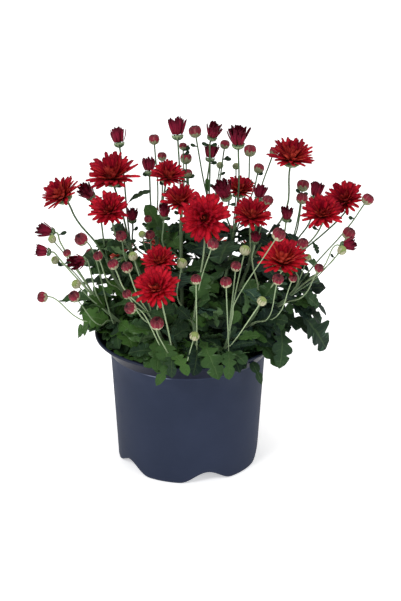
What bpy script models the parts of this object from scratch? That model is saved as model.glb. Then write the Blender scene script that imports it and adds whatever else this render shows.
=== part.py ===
"""A pot chrysanthemum in its nursery pot: pot, root ball, leafy stems, half-open heads and open blooms.

Metres, +Z up. The origin is the middle of the pot's underside, and -Y is the side that the picture shows.
Every flower head is placed by where the picture shows it and by its distance behind the pot's axis.
"""

import math
from collections import namedtuple

import bmesh
import bpy
import numpy as np
from mathutils import Matrix, Vector
from mathutils.bvhtree import BVHTree

MM = 0.001
SEED = 7
GAP = 0.3 * MM  # clearance between pieces that touch
MERGE = 0.0005 * MM  # fused points nearer than this are one
FLAT_ANGLE = math.radians(0.1)

# Pot
POT_WALL = 1.3 * MM
POT_HEIGHT = 139.5 * MM
POT_FOOT_RADIUS = 72.6 * MM
POT_COLLAR_FOOT_RADIUS = 79.5 * MM
POT_COLLAR_FOOT_HEIGHT = 121.0 * MM
POT_LIP_RADIUS = 95.0 * MM
POT_LIP_TURN = 1.5 * MM  # rolled edge above the collar
POT_CORNER = 2.6 * MM
POT_SIDES = 40
ARCH_COUNT = 5
ARCH_PITCH = 2 * math.pi / ARCH_COUNT
ARCH_FIRST = math.radians(-74)  # the arch that shows right of the front
ARCH_WIDTH = math.radians(46)
ARCH_RISE = 11.0 * MM
CHANNEL_START = 34.0 * MM  # the floor is flat inside this radius
DRAIN_RADIUS = 4.0 * MM
DRAIN_CIRCLE = 43.0 * MM

# Root ball
SOIL_DROP = 3.0 * MM  # of the soil's edge below the collar's foot
SOIL_CROWN = 5.0 * MM
SOIL_INNER_RING = 40.0 * MM
HOLE_DEPTH = 26.0 * MM
HOLE_SIDES = 6

# Stems, leaves and heads
MAIN_RADIUS = 2.1 * MM
MAIN_TIP_RADIUS = 1.5 * MM
MAIN_SIDES = 6
SIDE_SIDES = 3
SECTION_TURNS = [math.radians(turn) for turn in (0, 17, 34, 51, 68, 85, 7, 24, 41, 58, 75, 92)]
PEDUNCLE_RADIUS = 1.3 * MM
SHORT_STEM = 85 * MM  # a side stem shorter than this has one bend
SMALLEST_BUD = 9.2 * MM  # buds smaller than this are too slight for the solid
BUD_SIDES = 5
BUD_RINGS = 3
BUD_STRETCH = (0.95, 0.95, 1.06)
LOWEST_BRANCH = 0.4  # as a fraction of the main stem
HIGHEST_BRANCH = 0.98
BRANCH_STEP = 0.06  # side stems leave the main stem at least about this far apart
BRANCH_CROWDING = 0.7  # or this share of it, where they crowd at its foot
BRANCH_DROP = 20.0 * MM  # a side stem leaves the main stem this far below its foot
BRANCH_SLOPE = 0.35  # and lower by this share of its way out
LEAVING_RISE = 6.0 * MM  # it first runs up the main stem by this
LEAVING_SHARE = 0.35  # and turns this share of the way to its foot
TURN_IN_SHARE = 0.22  # of the way from its foot to its end, it is in line with its head
LEAF_THICKNESS = 0.8 * MM
LEAVES_PER_STEM = 5
LEAF_TRIES = 160
PLACED_TRIES = 800
STALK_REACH = 11.0 * MM  # nearer its own stem than this, a leaf may touch it
LEAF_REACH = 2.1 * MM  # the radius of the spheres that stand for a leaf
OTHER_CLEARANCE = 2.9 * MM  # between a leaf's middle surface and another spray
OWN_CLEARANCE = 0.5 * MM
PLACED_CLEARANCE = -1.0 * MM  # a leaf placed by its tip may touch its own stems
LEAF_PLACES = (0.16, 0.98)  # along the main stem
LEAF_LENGTH = (38.0 * MM, 56.0 * MM)
LONGEST_LEAF = 78.0 * MM
LEAF_WIDTH = (0.56, 0.7)  # in leaf lengths
LEAF_TURN = 1.15  # the spread of its direction about straight outwards, in radians
LEAF_RISE = (-8, 38)  # above level, in degrees
LEAF_ROLL = 0.35
LEAF_DROOP = (0.35, 1.1)
LEAF_LEAN = (0, -0.35, 1)  # the upper face of a leaf placed by its tip is turned up and to the viewer
TIP_SCATTER = 12.0 * MM  # such a leaf's tip is within this of its depth
PLACED_DROOP = (0.4, 1.9)
CUP_DEPTH = 5.0 * MM  # of the green cup under a bloom
CUP_BOTTOM_RADIUS = 1.6 * MM
# In head sizes: how high a head's middle is above the top of its cup, and how deep the cup is. A bud has
# none, and its stem ends inside it.
HEAD_RISE = {"bloom": 0.16, "half": 0.5, "bud": 0.42, "green": 0.42}
CUP_SHARE = {"half": 0.25, "bud": -0.1, "green": -0.1}
CUP_WIDTH = {"bloom": 0.2, "half": 0.34}  # its top radius, in head sizes
FOOT_SHARE = 0.72  # a stem's foot is this far out from the root to its head
HIDDEN_FOOT_SHARE = 0.4  # and this far down from its head where it is out of sight
HIDDEN_FOOT_AIM = 150.0 * MM  # the height that it runs down to
MAIN_AIM = 30.0 * MM  # a main stem's top is on the line from this height above its root
MAIN_TOP_SHARE = 0.75  # this far along, to the middle of the feet
MAIN_LEAST_RISE = 34.0 * MM
MAIN_PULL = (0.5, 0.35)  # how far it runs upright, and how far it leans before its top

# A flower head's rings, in units of a bloom's radius or a half-open head's width: the reach and height of
# the petals' tips, and of the notches between them. A round ring has both alike. Layers count up from 0.
Ring = namedtuple("Ring", "layer reach height notch notch_height")
BLOOM_PETALS = 8
BLOOM_RINGS = [
    Ring(0, 0.28, 0.00, 0.28, 0.00),
    Ring(0, 1.00, 0.24, 0.50, 0.18),
    Ring(0, 0.30, 0.28, 0.30, 0.28),
    Ring(1, 0.82, 0.60, 0.44, 0.40),
    Ring(1, 0.24, 0.40, 0.24, 0.40),
    Ring(2, 0.46, 0.80, 0.32, 0.56),
    Ring(2, 0.10, 0.46, 0.10, 0.46),
]
HALF_OPEN_PETALS = 6
HALF_OPEN_RINGS = [
    Ring(0, 0.30, 0.00, 0.30, 0.00),
    Ring(0, 0.56, 0.90, 0.42, 0.56),
    Ring(0, 0.12, 0.50, 0.12, 0.50),
]

# The picture: its frame in pixels, and where it was taken from
PICTURE_MIDDLE = (200.5, 300.5)
PICTURE_FOCAL = 1872.0  # pixels
VIEW_PLACE = (12.9 * MM, -1750.0 * MM, 914.6 * MM)
VIEW_TILT = math.radians(23)

# A head: its kind, place in the picture (across, down), depth behind the axis and width in mm, the way it
# faces (turn from the viewer to the right, rise above level; None follows its stem), and the place in the
# picture where its stem goes into the leaves (None where that is hidden).
Head = namedtuple("Head", "kind across down depth size turn rise foot")
Stem = namedtuple("Stem", "path radius tip_radius")
Leaf = namedtuple("Leaf", "base along normal length width droop lobes")
Spray = namedtuple("Spray", "name root main peduncles heads leaves")

SPRAYS = {
    "left_low": ((-57, -14), [
        Head("half", 44, 230, 5, 15, -80, 20, (62, 246)),
        Head("green", 52, 239, -25, 8, None, None, (66, 256)),
        Head("half", 41, 251, -30, 13, -85, 10, (62, 262)),
        Head("green", 55, 260, -5, 8, None, None, (72, 270)),
        Head("bud", 67, 253, -35, 8, None, None, (80, 274)),
        Head("half", 77, 262, -62, 16, -35, 12, (92, 278)),
        Head("green", 76, 284, -50, 9, None, None, (92, 300)),
        Head("bud", 74, 296, -62, 11, None, None, (98, 325)),
        Head("bud", 42, 297, -30, 11, -80, 12, (82, 321)),
        Head("bud", 81, 239, -36, 13, -50, 50, (111, 318)),
    ]),
    "left": ((-50, 10), [
        Head("bloom", 61, 193, 12, 41, -60, 58, (78, 222)),
        Head("half", 86, 191, 48, 17, -50, 50, (100, 214)),
        Head("bud", 98, 256, -38, 9.5, None, None, (108, 282)),
    ]),
    "left_rear": ((-36, 28), [
        Head("bloom", 112, 173, 42, 52, -20, 72, (120, 204)),
        Head("half", 118, 135, 88, 17, None, None, (124, 178)),
        Head("bloom", 109, 209, -6, 40, -12, 54, (116, 236)),
        Head("bud", 121, 236, -20, 11, None, None, (126, 262)),
    ]),
    "rear_left": ((-20, 44), [
        Head("bud", 154, 139, 74, 11, None, None, (158, 190)),
        Head("bud", 162, 156, 92, 9.5, None, None, (162, 200)),
        Head("half", 149, 164, 94, 15, None, None, (151, 208)),
        Head("bloom", 168, 174, 38, 35, 25, 66, (162, 206)),
        Head("half", 132, 214, 40, 13, None, None, (134, 246)),
        Head("bud", 148, 219, 22, 8, None, None, (150, 240)),
        Head("green", 142, 234, 4, 7, None, None, (146, 250)),
        Head("bud", 150, 235, 10, 10, None, None, (152, 254)),
    ]),
    "middle_left": ((-6, 20), [
        Head("half", 177, 126, 70, 19, None, None, (180, 176)),
        Head("bud", 183, 146, 86, 8, None, None, (184, 186)),
        Head("bud", 186, 158, 100, 12, None, None, (187, 196)),
        Head("bud", 188, 173, 80, 9, None, None, (189, 200)),
        Head("bloom", 180, 199, 8, 38, -10, 70, (180, 226)),
        Head("half", 164, 210, -16, 13, None, None, (163, 246)),
    ]),
    "middle_right": ((14, 44), [
        Head("bud", 195, 131, 56, 13, None, None, (203, 178)),
        Head("half", 214, 130, 62, 16, 60, 74, (210, 168)),
        Head("half", 211, 151, 80, 15, None, None, (207, 184)),
        Head("bud", 225, 144, 94, 10, None, None, (219, 184)),
        Head("green", 220, 165, 108, 7, None, None, (216, 192)),
    ]),
    "rear_right": ((34, 36), [
        Head("half", 238, 135, 14, 20, None, None, (239, 182)),
        Head("bud", 250, 150, 86, 13, None, None, (248, 186)),
        Head("bud", 259, 168, 90, 11, None, None, (253, 192)),
        Head("green", 236, 166, 104, 7, None, None, (236, 192)),
        Head("bloom", 240, 188, 52, 33, 20, 76, (238, 214)),
        Head("half", 223, 189, 24, 19, -60, 66, (226, 214)),
    ]),
    "right_rear": ((44, 12), [
        Head("bloom", 292, 155, 44, 46, 30, 78, (286, 212)),
        Head("bud", 274, 151, 66, 9, None, None, (260, 192)),
        Head("half", 260, 191, 34, 14, None, None, (256, 220)),
        Head("bud", 268, 200, 20, 11, None, None, (262, 224)),
        Head("bloom", 252, 214, -8, 40, 15, 68, (250, 240)),
    ]),
    "right": ((58, 22), [
        Head("bud", 303, 185, 72, 13, None, None, (298, 218)),
        Head("bud", 302, 198, 40, 12, None, None, (298, 226)),
        Head("half", 317, 189, 52, 16, None, None, (310, 222)),
        Head("bloom", 322, 212, 2, 42, -10, 62, (312, 240)),
        Head("bloom", 344, 198, 36, 41, -30, 54, (330, 228)),
        Head("half", 287, 213, 8, 13, None, None, (284, 240)),
    ]),
    "right_low": ((62, -8), [
        Head("bud", 368, 199, 18, 12, None, None, (346, 230)),
        Head("bud", 349, 233, -16, 13, None, None, (332, 262)),
        Head("half", 350, 244, -34, 13, 80, 15, (322, 270)),
        Head("green", 342, 250, -50, 9, None, None, (314, 280)),
        Head("bud", 319, 268, -52, 9, None, None, (304, 296)),
        Head("bud", 303, 243, -22, 11, None, None, (296, 270)),
        Head("green", 308, 257, -38, 6.5, None, None, (300, 278)),
    ]),
    "front_right": ((46, -34), [
        Head("bloom", 283, 258, -64, 48, 12, 72, (272, 286)),
        Head("half", 256, 237, -44, 10, None, None, (252, 262)),
        Head("bud", 278, 279, -94, 11, None, None, (269, 318)),
        Head("bud", 293, 278, -78, 8, None, None, (278, 316)),
    ]),
    "front_middle_right": ((34, -60), [
        Head("bud", 226, 282, -94, 11, None, None, (229, 360)),
        Head("green", 262, 301, -96, 9, None, None, (233, 343)),
        Head("bud", 236, 266, -78, 10, None, None, (229, 330)),
        Head("bud", 279, 234, -92, 13, None, None, (237, 298)),
        Head("green", 245, 250, -62, 10, None, None, (234, 300)),
    ]),
    "front_middle": ((8, -60), [
        Head("bloom", 205, 218, -52, 50, 2, 27, (204, 252)),
        Head("bud", 213, 244, -84, 11, None, None, (202, 276)),
        Head("bud", 196, 279, -92, 10, None, None, (197, 352)),
        Head("green", 194.5, 336, -102, 9, None, None, (187, 362)),
        Head("green", 182, 263, -52, 10, None, None, (177, 298)),
    ]),
    "front_left": ((-18, -58), [
        Head("bloom", 156, 287, -100, 43, -15, 50, (172, 350)),
        Head("bloom", 159, 260, -60, 34, -10, 66, (162, 290)),
        Head("bud", 157, 323, -114, 13, 0, 70, (171, 358)),
        Head("bud", 130, 308, -104, 11.5, -60, 30, (163, 352)),
        Head("bud", 127, 294, -88, 9, None, None, (142, 318)),
        Head("bud", 113, 264, -62, 10.5, None, None, (126, 292)),
        Head("bud", 127, 267, -74, 11, None, None, (138, 296)),
        Head("green", 133, 256, -52, 9, None, None, (142, 284)),
    ]),
    "back_left": ((-26, 60), [
        Head("bloom", 118, 252, 112, 44, 215, 58, None),
        Head("bloom", 162, 240, 138, 42, 190, 50, None),
        Head("bud", 90, 254, 84, 12, None, None, None),
        Head("half", 122, 234, 78, 15, None, None, None),
        Head("green", 176, 246, 122, 8, None, None, None),
    ]),
    "back_right": ((26, 60), [
        Head("bloom", 208, 244, 140, 46, 170, 48, None),
        Head("bloom", 256, 250, 118, 42, 140, 56, None),
        Head("bud", 230, 230, 112, 12, None, None, None),
        Head("half", 280, 246, 96, 15, None, None, None),
        Head("bud", 288, 252, 78, 11, None, None, None),
        Head("green", 192, 248, 128, 8, None, None, None),
    ]),
}

# The leaves that stand out in the picture: the place of the tip (across, down), its depth behind the axis
# and the width in mm
PLACED_LEAVES = {
    "right_low": [((326, 349), -26, 38), ((279, 369), -56, 24)],
    "right": [((326, 288), 4, 26)],
    "rear_left": [((145, 205), 48, 24)],
    "front_middle_right": [((240, 373), -114, 20)],
    "front_middle": [((219, 380), -114, 24), ((193, 376), -112, 20)],
    "front_left": [((168, 376), -112, 22), ((157, 371), -108, 20)],
    "left_low": [((78, 337), -20, 26), ((79, 309), -2, 24)],
}


# Layout: numpy only, the same each run

def unit(vector):
    vector = np.asarray(vector, float)
    return vector / max(np.linalg.norm(vector), 1e-12)


def picture_point(across, down, depth):
    """The point seen at a place in the picture, on the upright plane a depth behind the pot's axis."""
    side = (across - PICTURE_MIDDLE[0]) / PICTURE_FOCAL
    rise = (PICTURE_MIDDLE[1] - down) / PICTURE_FOCAL
    cos, sin = math.cos(VIEW_TILT), math.sin(VIEW_TILT)
    sight = np.array([side, cos + rise * sin, rise * cos - sin])
    return np.array(VIEW_PLACE) + sight * (depth - VIEW_PLACE[1]) / sight[1]


def facing(turn, rise):
    """The way a head faces: turned from the viewer to the right, and raised above level, in degrees."""
    turn, rise = math.radians(turn), math.radians(rise)
    return np.array([math.sin(turn) * math.cos(rise), -math.cos(turn) * math.cos(rise), math.sin(rise)])


def smooth_path(corners, count):
    """Points along a Catmull-Rom curve through the corners, evenly spaced in its parameter."""
    corners = np.asarray(corners, float)
    ends = np.vstack([2 * corners[0] - corners[1], corners, 2 * corners[-1] - corners[-2]])
    place = np.linspace(0, len(corners) - 1 - 1e-9, count)
    first = place.astype(int)
    t = (place - first)[:, None]
    a, b, c, d = (ends[first + step] for step in range(4))
    return 0.5 * (2 * b + (c - a) * t + (2 * a - 5 * b + 4 * c - d) * t**2 + (3 * b - a - 3 * c + d) * t**3)


def arch_path(start, start_pull, end_pull, end, count):
    """Points along a cubic Bezier curve, which leaves towards one pull and arrives from the other."""
    t = np.linspace(0, 1, count)[:, None]
    pulled = 3 * (1 - t) ** 2 * t * start_pull + 3 * (1 - t) * t**2 * end_pull
    return (1 - t) ** 3 * start + pulled + t**3 * end


def along_path(path, fraction):
    """The point and the direction at a fraction of a path's parameter."""
    place = min(max(fraction, 0.0), 1.0) * (len(path) - 1)
    first = min(int(place), len(path) - 2)
    step = path[first + 1] - path[first]
    return path[first] + step * (place - first), unit(step)


def soil_height(radius):
    """The root ball's top: highest in the middle, and falling with the square of the radius."""
    edge = POT_COLLAR_FOOT_RADIUS - POT_WALL
    return POT_COLLAR_FOOT_HEIGHT - SOIL_DROP + SOIL_CROWN * (1 - (radius / edge) ** 2)


def place_head(head, root):
    """Works out a head's middle, the way it faces, its stem's end and where the stem meets the leaves."""
    size = head.size * MM
    middle = picture_point(head.across, head.down, head.depth * MM)
    if head.foot is None:
        low = np.array([root[0], root[1], HIDDEN_FOOT_AIM])
        foot = middle + (low - middle) * HIDDEN_FOOT_SHARE
    else:
        depth = root[1] + FOOT_SHARE * (head.depth * MM - root[1])
        foot = picture_point(*head.foot, depth)
    way = unit(middle - foot) if head.turn is None else facing(head.turn, head.rise)
    cup_top = middle - way * HEAD_RISE[head.kind] * size
    cup_depth = CUP_DEPTH if head.kind == "bloom" else CUP_SHARE[head.kind] * size
    stem_end = cup_top - way * cup_depth
    return dict(
        kind=head.kind, size=size, middle=middle, way=way, cup_top=cup_top, stem_end=stem_end, foot=foot
    )


def grow_stems(root_place, heads):
    """A main stem from the soil to the middle of the spray, and a side stem from it to each head.

    A side stem leaves the main stem a little lower than its foot, so that it rises as it goes outward.
    """
    x, y = (value * MM for value in root_place)
    ground = soil_height(math.hypot(x, y))
    placed = [place_head(head, (x, y)) for head in heads]
    feet = np.array([head["foot"] for head in placed])
    low = np.array([x, y, ground + MAIN_AIM])
    top = low + (feet.mean(axis=0) - low) * MAIN_TOP_SHARE
    top[2] = max(top[2], ground + MAIN_LEAST_RISE)
    root = np.array([x, y, ground - HOLE_DEPTH + GAP])
    collar = np.array([x, y, ground + 2 * MM])
    rise = top[2] - collar[2]
    upright = collar + np.array([0, 0, MAIN_PULL[0] * rise])
    leaning = top - MAIN_PULL[1] * (top - collar) * [0.6, 0.6, 1]
    main = np.vstack([root, arch_path(collar, upright, leaning, top, 9)])
    spread = np.linalg.norm(feet[:, :2] - top[:2], axis=1)
    goals = feet[:, 2] - BRANCH_DROP - BRANCH_SLOPE * spread
    fractions = np.interp(goals, main[:, 2], np.linspace(0, 1, len(main)))
    fractions = fractions.clip(LOWEST_BRANCH, HIGHEST_BRANCH)
    order = np.argsort(-fractions, kind="stable")
    highest = HIGHEST_BRANCH - BRANCH_STEP * np.arange(len(order))
    fractions[order] = np.minimum(fractions[order], highest).clip(LOWEST_BRANCH)
    lowest = LOWEST_BRANCH + BRANCH_STEP * BRANCH_CROWDING * np.arange(len(order))[::-1]
    fractions[order] = np.maximum(fractions[order], lowest)
    peduncles = []
    for head, fraction in zip(placed, fractions):
        start, rising = along_path(main, fraction)
        length = np.linalg.norm(head["stem_end"] - head["foot"])
        turn_in = head["stem_end"] - head["way"] * TURN_IN_SHARE * length
        leaving = start + rising * LEAVING_RISE + (head["foot"] - start) * LEAVING_SHARE
        corners = [start, leaving, head["foot"], turn_in, head["stem_end"]]
        peduncles.append(Stem(smooth_path(corners, 8), PEDUNCLE_RADIUS, PEDUNCLE_RADIUS))
    return Stem(main, MAIN_RADIUS, MAIN_TIP_RADIUS), peduncles, placed


def leaf_points(leaf, across, along):
    """Points on a leaf's blade, which bends down along an arc and turns by its droop from foot to tip."""
    side = np.cross(leaf.along, leaf.normal)
    along, across = np.asarray(along, float), np.asarray(across, float)
    bend = leaf.droop * along
    forward = np.sin(bend) / leaf.droop * leaf.length
    fall = (1 - np.cos(bend)) / leaf.droop * leaf.length
    fold = 0.25 * np.abs(across) * leaf.width
    points = leaf.base + forward[..., None] * leaf.along - fall[..., None] * leaf.normal
    return points + (across * leaf.width)[..., None] * side + fold[..., None] * leaf.normal


def blade_samples(leaf, step=3.0 * MM):
    """Points about a step apart all over a leaf, for the test that it is clear of other stems."""
    rows = max(int(leaf.length / step), 4)
    columns = max(int(leaf.width / step), 3)
    along, across = np.meshgrid(np.linspace(0, 1, rows), np.linspace(-0.5, 0.5, columns))
    across = across * np.where(along < 0.25, 0.15, 1.0)
    return leaf_points(leaf, across.ravel(), along.ravel())


def stem_samples(stem, step=2.0 * MM):
    """Spheres along a stem: their middles and radii, as rows of four numbers."""
    count = max(int(np.linalg.norm(np.diff(stem.path, axis=0), axis=1).sum() / step), 2)
    place = np.linspace(0, len(stem.path) - 1, count)
    known = np.arange(len(stem.path))
    points = np.stack([np.interp(place, known, stem.path[:, k]) for k in range(3)], axis=1)
    return np.column_stack([points, np.full(count, stem.radius + 1.0 * MM)])


def head_samples(head):
    """Spheres that fill a head: a disc of them for a bloom, one for a bud, and two for a half-open head."""
    middle, way, size = head["middle"], head["way"], head["size"]
    if head["kind"] == "bud" or head["kind"] == "green":
        return np.array([[*middle, 0.55 * size]])
    if head["kind"] == "half":
        low, high = middle - way * 0.25 * size, middle + way * 0.25 * size
        return np.array([[*low, 0.4 * size], [*high, 0.55 * size]])
    side = unit(np.cross(way, [0.3, 0.5, 0.8]))
    up = np.cross(way, side)
    turns = np.arange(12) * math.tau / 12
    rows = [[*middle, 0.22 * size]]
    for ring in (0.24, 0.42):
        around = np.cos(turns)[:, None] * side + np.sin(turns)[:, None] * up
        points = middle + around * ring * size + way * 0.1 * size
        rows.extend([*point, 0.15 * size] for point in points)
    return np.array(rows)


def is_clear(points, clouds, reach=OTHER_CLEARANCE):
    """Whether every point is farther than reach from every sphere of the clouds."""
    middle = points.mean(axis=0)
    extent = np.linalg.norm(points - middle, axis=1).max()
    for cloud in clouds:
        near = np.linalg.norm(cloud[:, :3] - middle, axis=1) < extent + cloud[:, 3] + reach
        if not near.any():
            continue
        close = cloud[near]
        gaps = np.linalg.norm(points[:, None] - close[None, :, :3], axis=2) - close[None, :, 3]
        if gaps.min() < reach:
            return False
    return True


def outside_pot(points):
    """Whether every point is clear of the soil and of the pot's collar and wall."""
    radius = np.hypot(points[:, 0], points[:, 1])
    over_soil = points[:, 2] > soil_height(np.minimum(radius, POT_COLLAR_FOOT_RADIUS)) + 3 * MM
    collar = POT_COLLAR_FOOT_HEIGHT + (radius - POT_COLLAR_FOOT_RADIUS) * 1.2
    over_collar = points[:, 2] > collar + 4 * MM
    beyond = radius > POT_LIP_RADIUS + 4 * MM
    inside = radius < POT_COLLAR_FOOT_RADIUS - 4 * MM
    return bool(np.all((inside & over_soil) | (~inside & ~beyond & over_collar & over_soil) | beyond))


def draw_leaf(stem, random, rank):
    """One leaf at a random place on a main stem. It points away from the pot's axis, more or less level."""
    fraction = random.uniform(*LEAF_PLACES)
    base, rising = along_path(stem.path, fraction)
    outward = math.atan2(base[1], base[0]) + random.normal(0, LEAF_TURN)
    rise = math.radians(random.uniform(*LEAF_RISE))
    level = math.cos(rise)
    along = np.array([math.cos(outward) * level, math.sin(outward) * level, math.sin(rise)])
    side = unit(np.cross(along, [0, 0, 1]))
    normal = np.cross(side, along)
    roll = random.normal(0, LEAF_ROLL)
    normal = normal * math.cos(roll) + side * math.sin(roll)
    length = random.uniform(*LEAF_LENGTH) * (1 - 0.12 * (rank % 3 == 2))
    width = length * random.uniform(*LEAF_WIDTH)
    droop = random.uniform(*LEAF_DROOP)
    return Leaf(base, along, normal, length, width, droop, 2)


def draw_placed_leaf(stem, random, place, depth, width):
    """One leaf from a random place on a main stem to a tip that shows at a place in the picture."""
    base, _ = along_path(stem.path, random.uniform(*LEAF_PLACES))
    tip = picture_point(*place, depth * MM + random.uniform(-TIP_SCATTER, TIP_SCATTER))
    chord = unit(tip - base)
    side = unit(np.cross(chord, LEAF_LEAN))
    upper = np.cross(side, chord)
    roll = random.normal(0, LEAF_ROLL)
    upper = upper * math.cos(roll) + side * math.sin(roll)
    half_droop = 0.5 * random.uniform(*PLACED_DROOP)
    along = chord * math.cos(half_droop) + upper * math.sin(half_droop)
    normal = upper * math.cos(half_droop) - chord * math.sin(half_droop)
    length = np.linalg.norm(tip - base) * half_droop / math.sin(half_droop)
    return Leaf(base, along, normal, length, width * MM, 2 * half_droop, 2)


def lay_out():
    """Grows every spray, then gives the stems their leaves in turn, each clear of all the other sprays.

    A stem's first leaves are the ones that stand out in the picture.
    """
    random = np.random.default_rng(SEED)
    grown = {name: grow_stems(root, heads) for name, (root, heads) in SPRAYS.items()}
    clouds = {
        name: np.vstack([
            *(stem_samples(stem) for stem in [main, *peduncles]),
            *(head_samples(head) for head in heads),
        ])
        for name, (main, peduncles, heads) in grown.items()
    }
    leaves = {name: [] for name in grown}
    for rank in range(LEAVES_PER_STEM):
        for name, (main, peduncles, heads) in grown.items():
            others = [cloud for other, cloud in clouds.items() if other != name]
            is_placed = rank < len(PLACED_LEAVES.get(name, []))
            for _ in range(PLACED_TRIES if is_placed else LEAF_TRIES):
                if is_placed:
                    leaf = draw_placed_leaf(main, random, *PLACED_LEAVES[name][rank])
                else:
                    leaf = draw_leaf(main, random, rank)
                points = blade_samples(leaf)
                blade = points[np.linalg.norm(points - leaf.base, axis=1) > STALK_REACH]
                if leaf.length > LONGEST_LEAF or not outside_pot(points) or not is_clear(points, others):
                    continue
                if is_clear(blade, [clouds[name]], PLACED_CLEARANCE if is_placed else OWN_CLEARANCE):
                    leaves[name].append(leaf)
                    sampled = np.column_stack([points, np.full(len(points), LEAF_REACH)])
                    clouds[name] = np.vstack([clouds[name], sampled])
                    break
    return [
        Spray(name, SPRAYS[name][0], main, peduncles, heads, leaves[name])
        for name, (main, peduncles, heads) in grown.items()
    ]


# Blender helpers

def clear_scene():
    for thing in list(bpy.data.objects):
        bpy.data.objects.remove(thing, do_unlink=True)
    for group in list(bpy.data.collections):
        bpy.data.collections.remove(group)


def new_collection(name):
    group = bpy.data.collections.new(name)
    bpy.context.scene.collection.children.link(group)
    return group


def plain_material(name, colour, roughness):
    """A material with one colour, given as it shows on a screen, from 0 to 255."""
    material = bpy.data.materials.new(name)
    material.use_nodes = True
    shader = material.node_tree.nodes["Principled BSDF"]
    linear = [(value / 255) ** 2.2 for value in colour]
    shader.inputs["Base Color"].default_value = (*linear, 1)
    shader.inputs["Roughness"].default_value = roughness
    shader.inputs["Metallic"].default_value = 0.0
    material.diffuse_color = (*linear, 1)
    return material


def add_object(name, mesh, group, material=None):
    thing = bpy.data.objects.new(name, mesh)
    group.objects.link(thing)
    if material:
        mesh.materials.clear()
        mesh.materials.append(material)
    return thing


def mesh_from_bmesh(name, shape):
    mesh = bpy.data.meshes.new(name)
    shape.to_mesh(mesh)
    shape.free()
    return mesh


def baked_mesh(thing):
    """The object's mesh with its modifiers applied."""
    graph = bpy.context.evaluated_depsgraph_get()
    return bpy.data.meshes.new_from_object(thing.evaluated_get(graph))


def apply_modifiers(thing):
    mesh = baked_mesh(thing)
    old = thing.data
    thing.modifiers.clear()
    thing.data = mesh
    bpy.data.meshes.remove(old)


def turn_to(way):
    """The rotation that takes +Z to a direction."""
    return Vector(way).to_track_quat("Z", "Y").to_matrix().to_4x4()


def is_sound(shape):
    """Whether a shape is closed, and no two of its faces that share no corner meet."""
    if any(len(edge.link_faces) != 2 for edge in shape.edges):
        return False
    tree = BVHTree.FromBMesh(shape)
    corners = [{vertex.index for vertex in face.verts} for face in shape.faces]
    return not any(first < second and corners[first].isdisjoint(corners[second])
                   for first, second in tree.overlap(tree))


def split_bodies(shape):
    """The shape's separate bodies, as sets of vertices, the largest first."""
    unseen = set(shape.verts)
    bodies = []
    while unseen:
        frontier = [unseen.pop()]
        body = set(frontier)
        while frontier:
            for edge in frontier.pop().link_edges:
                for other in edge.verts:
                    if other in unseen:
                        unseen.discard(other)
                        body.add(other)
                        frontier.append(other)
        bodies.append(body)
    return sorted(bodies, key=len, reverse=True)


def clean_up(mesh):
    """Leaves a fused mesh one outer body of triangles, its flat faces whole where that keeps it sound.

    Returns whether the body is sound.
    """
    for merged, splitting in [(True, "BEAUTY"), (True, "EAR_CLIP"), (False, "BEAUTY"), (False, "EAR_CLIP")]:
        shape = bmesh.new()
        shape.from_mesh(mesh)
        if merged:
            bmesh.ops.remove_doubles(shape, verts=shape.verts, dist=MERGE)
            bmesh.ops.dissolve_limit(shape, angle_limit=FLAT_ANGLE, verts=shape.verts, edges=shape.edges)
        bmesh.ops.triangulate(shape, faces=shape.faces, ngon_method=splitting)
        for body in split_bodies(shape)[1:]:
            bmesh.ops.delete(shape, geom=list(body), context="VERTS")
        shape.verts.index_update()
        shape.faces.index_update()
        sound = is_sound(shape)
        if sound:
            shape.to_mesh(mesh)
        shape.free()
        if sound:
            return True
    return False


def fuse(name, base, others, material):
    """Fuses a base object with a collection, which is then removed. Returns whether the solid is sound."""
    union = base.modifiers.new("fused", "BOOLEAN")
    union.operation = "UNION"
    union.operand_type = "COLLECTION"
    union.collection = others
    for solver in ("EXACT", "MANIFOLD"):
        union.solver = solver
        mesh = baked_mesh(base)
        sound = clean_up(mesh)
        if sound:
            break
    base.modifiers.clear()
    base.data = mesh
    base.data.materials.clear()
    base.data.materials.append(material)
    base.name = name
    for thing in list(others.objects):
        bpy.data.objects.remove(thing, do_unlink=True)
    bpy.data.collections.remove(others)
    return sound


# Stems, buds, leaves and petals

def thinned(path, count):
    """A path with only count points, evenly spaced along its length."""
    run = np.concatenate([[0], np.cumsum(np.linalg.norm(np.diff(path, axis=0), axis=1))])
    places = np.linspace(0, run[-1], count)
    return np.stack([np.interp(places, run, path[:, k]) for k in range(3)], axis=1)


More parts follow.
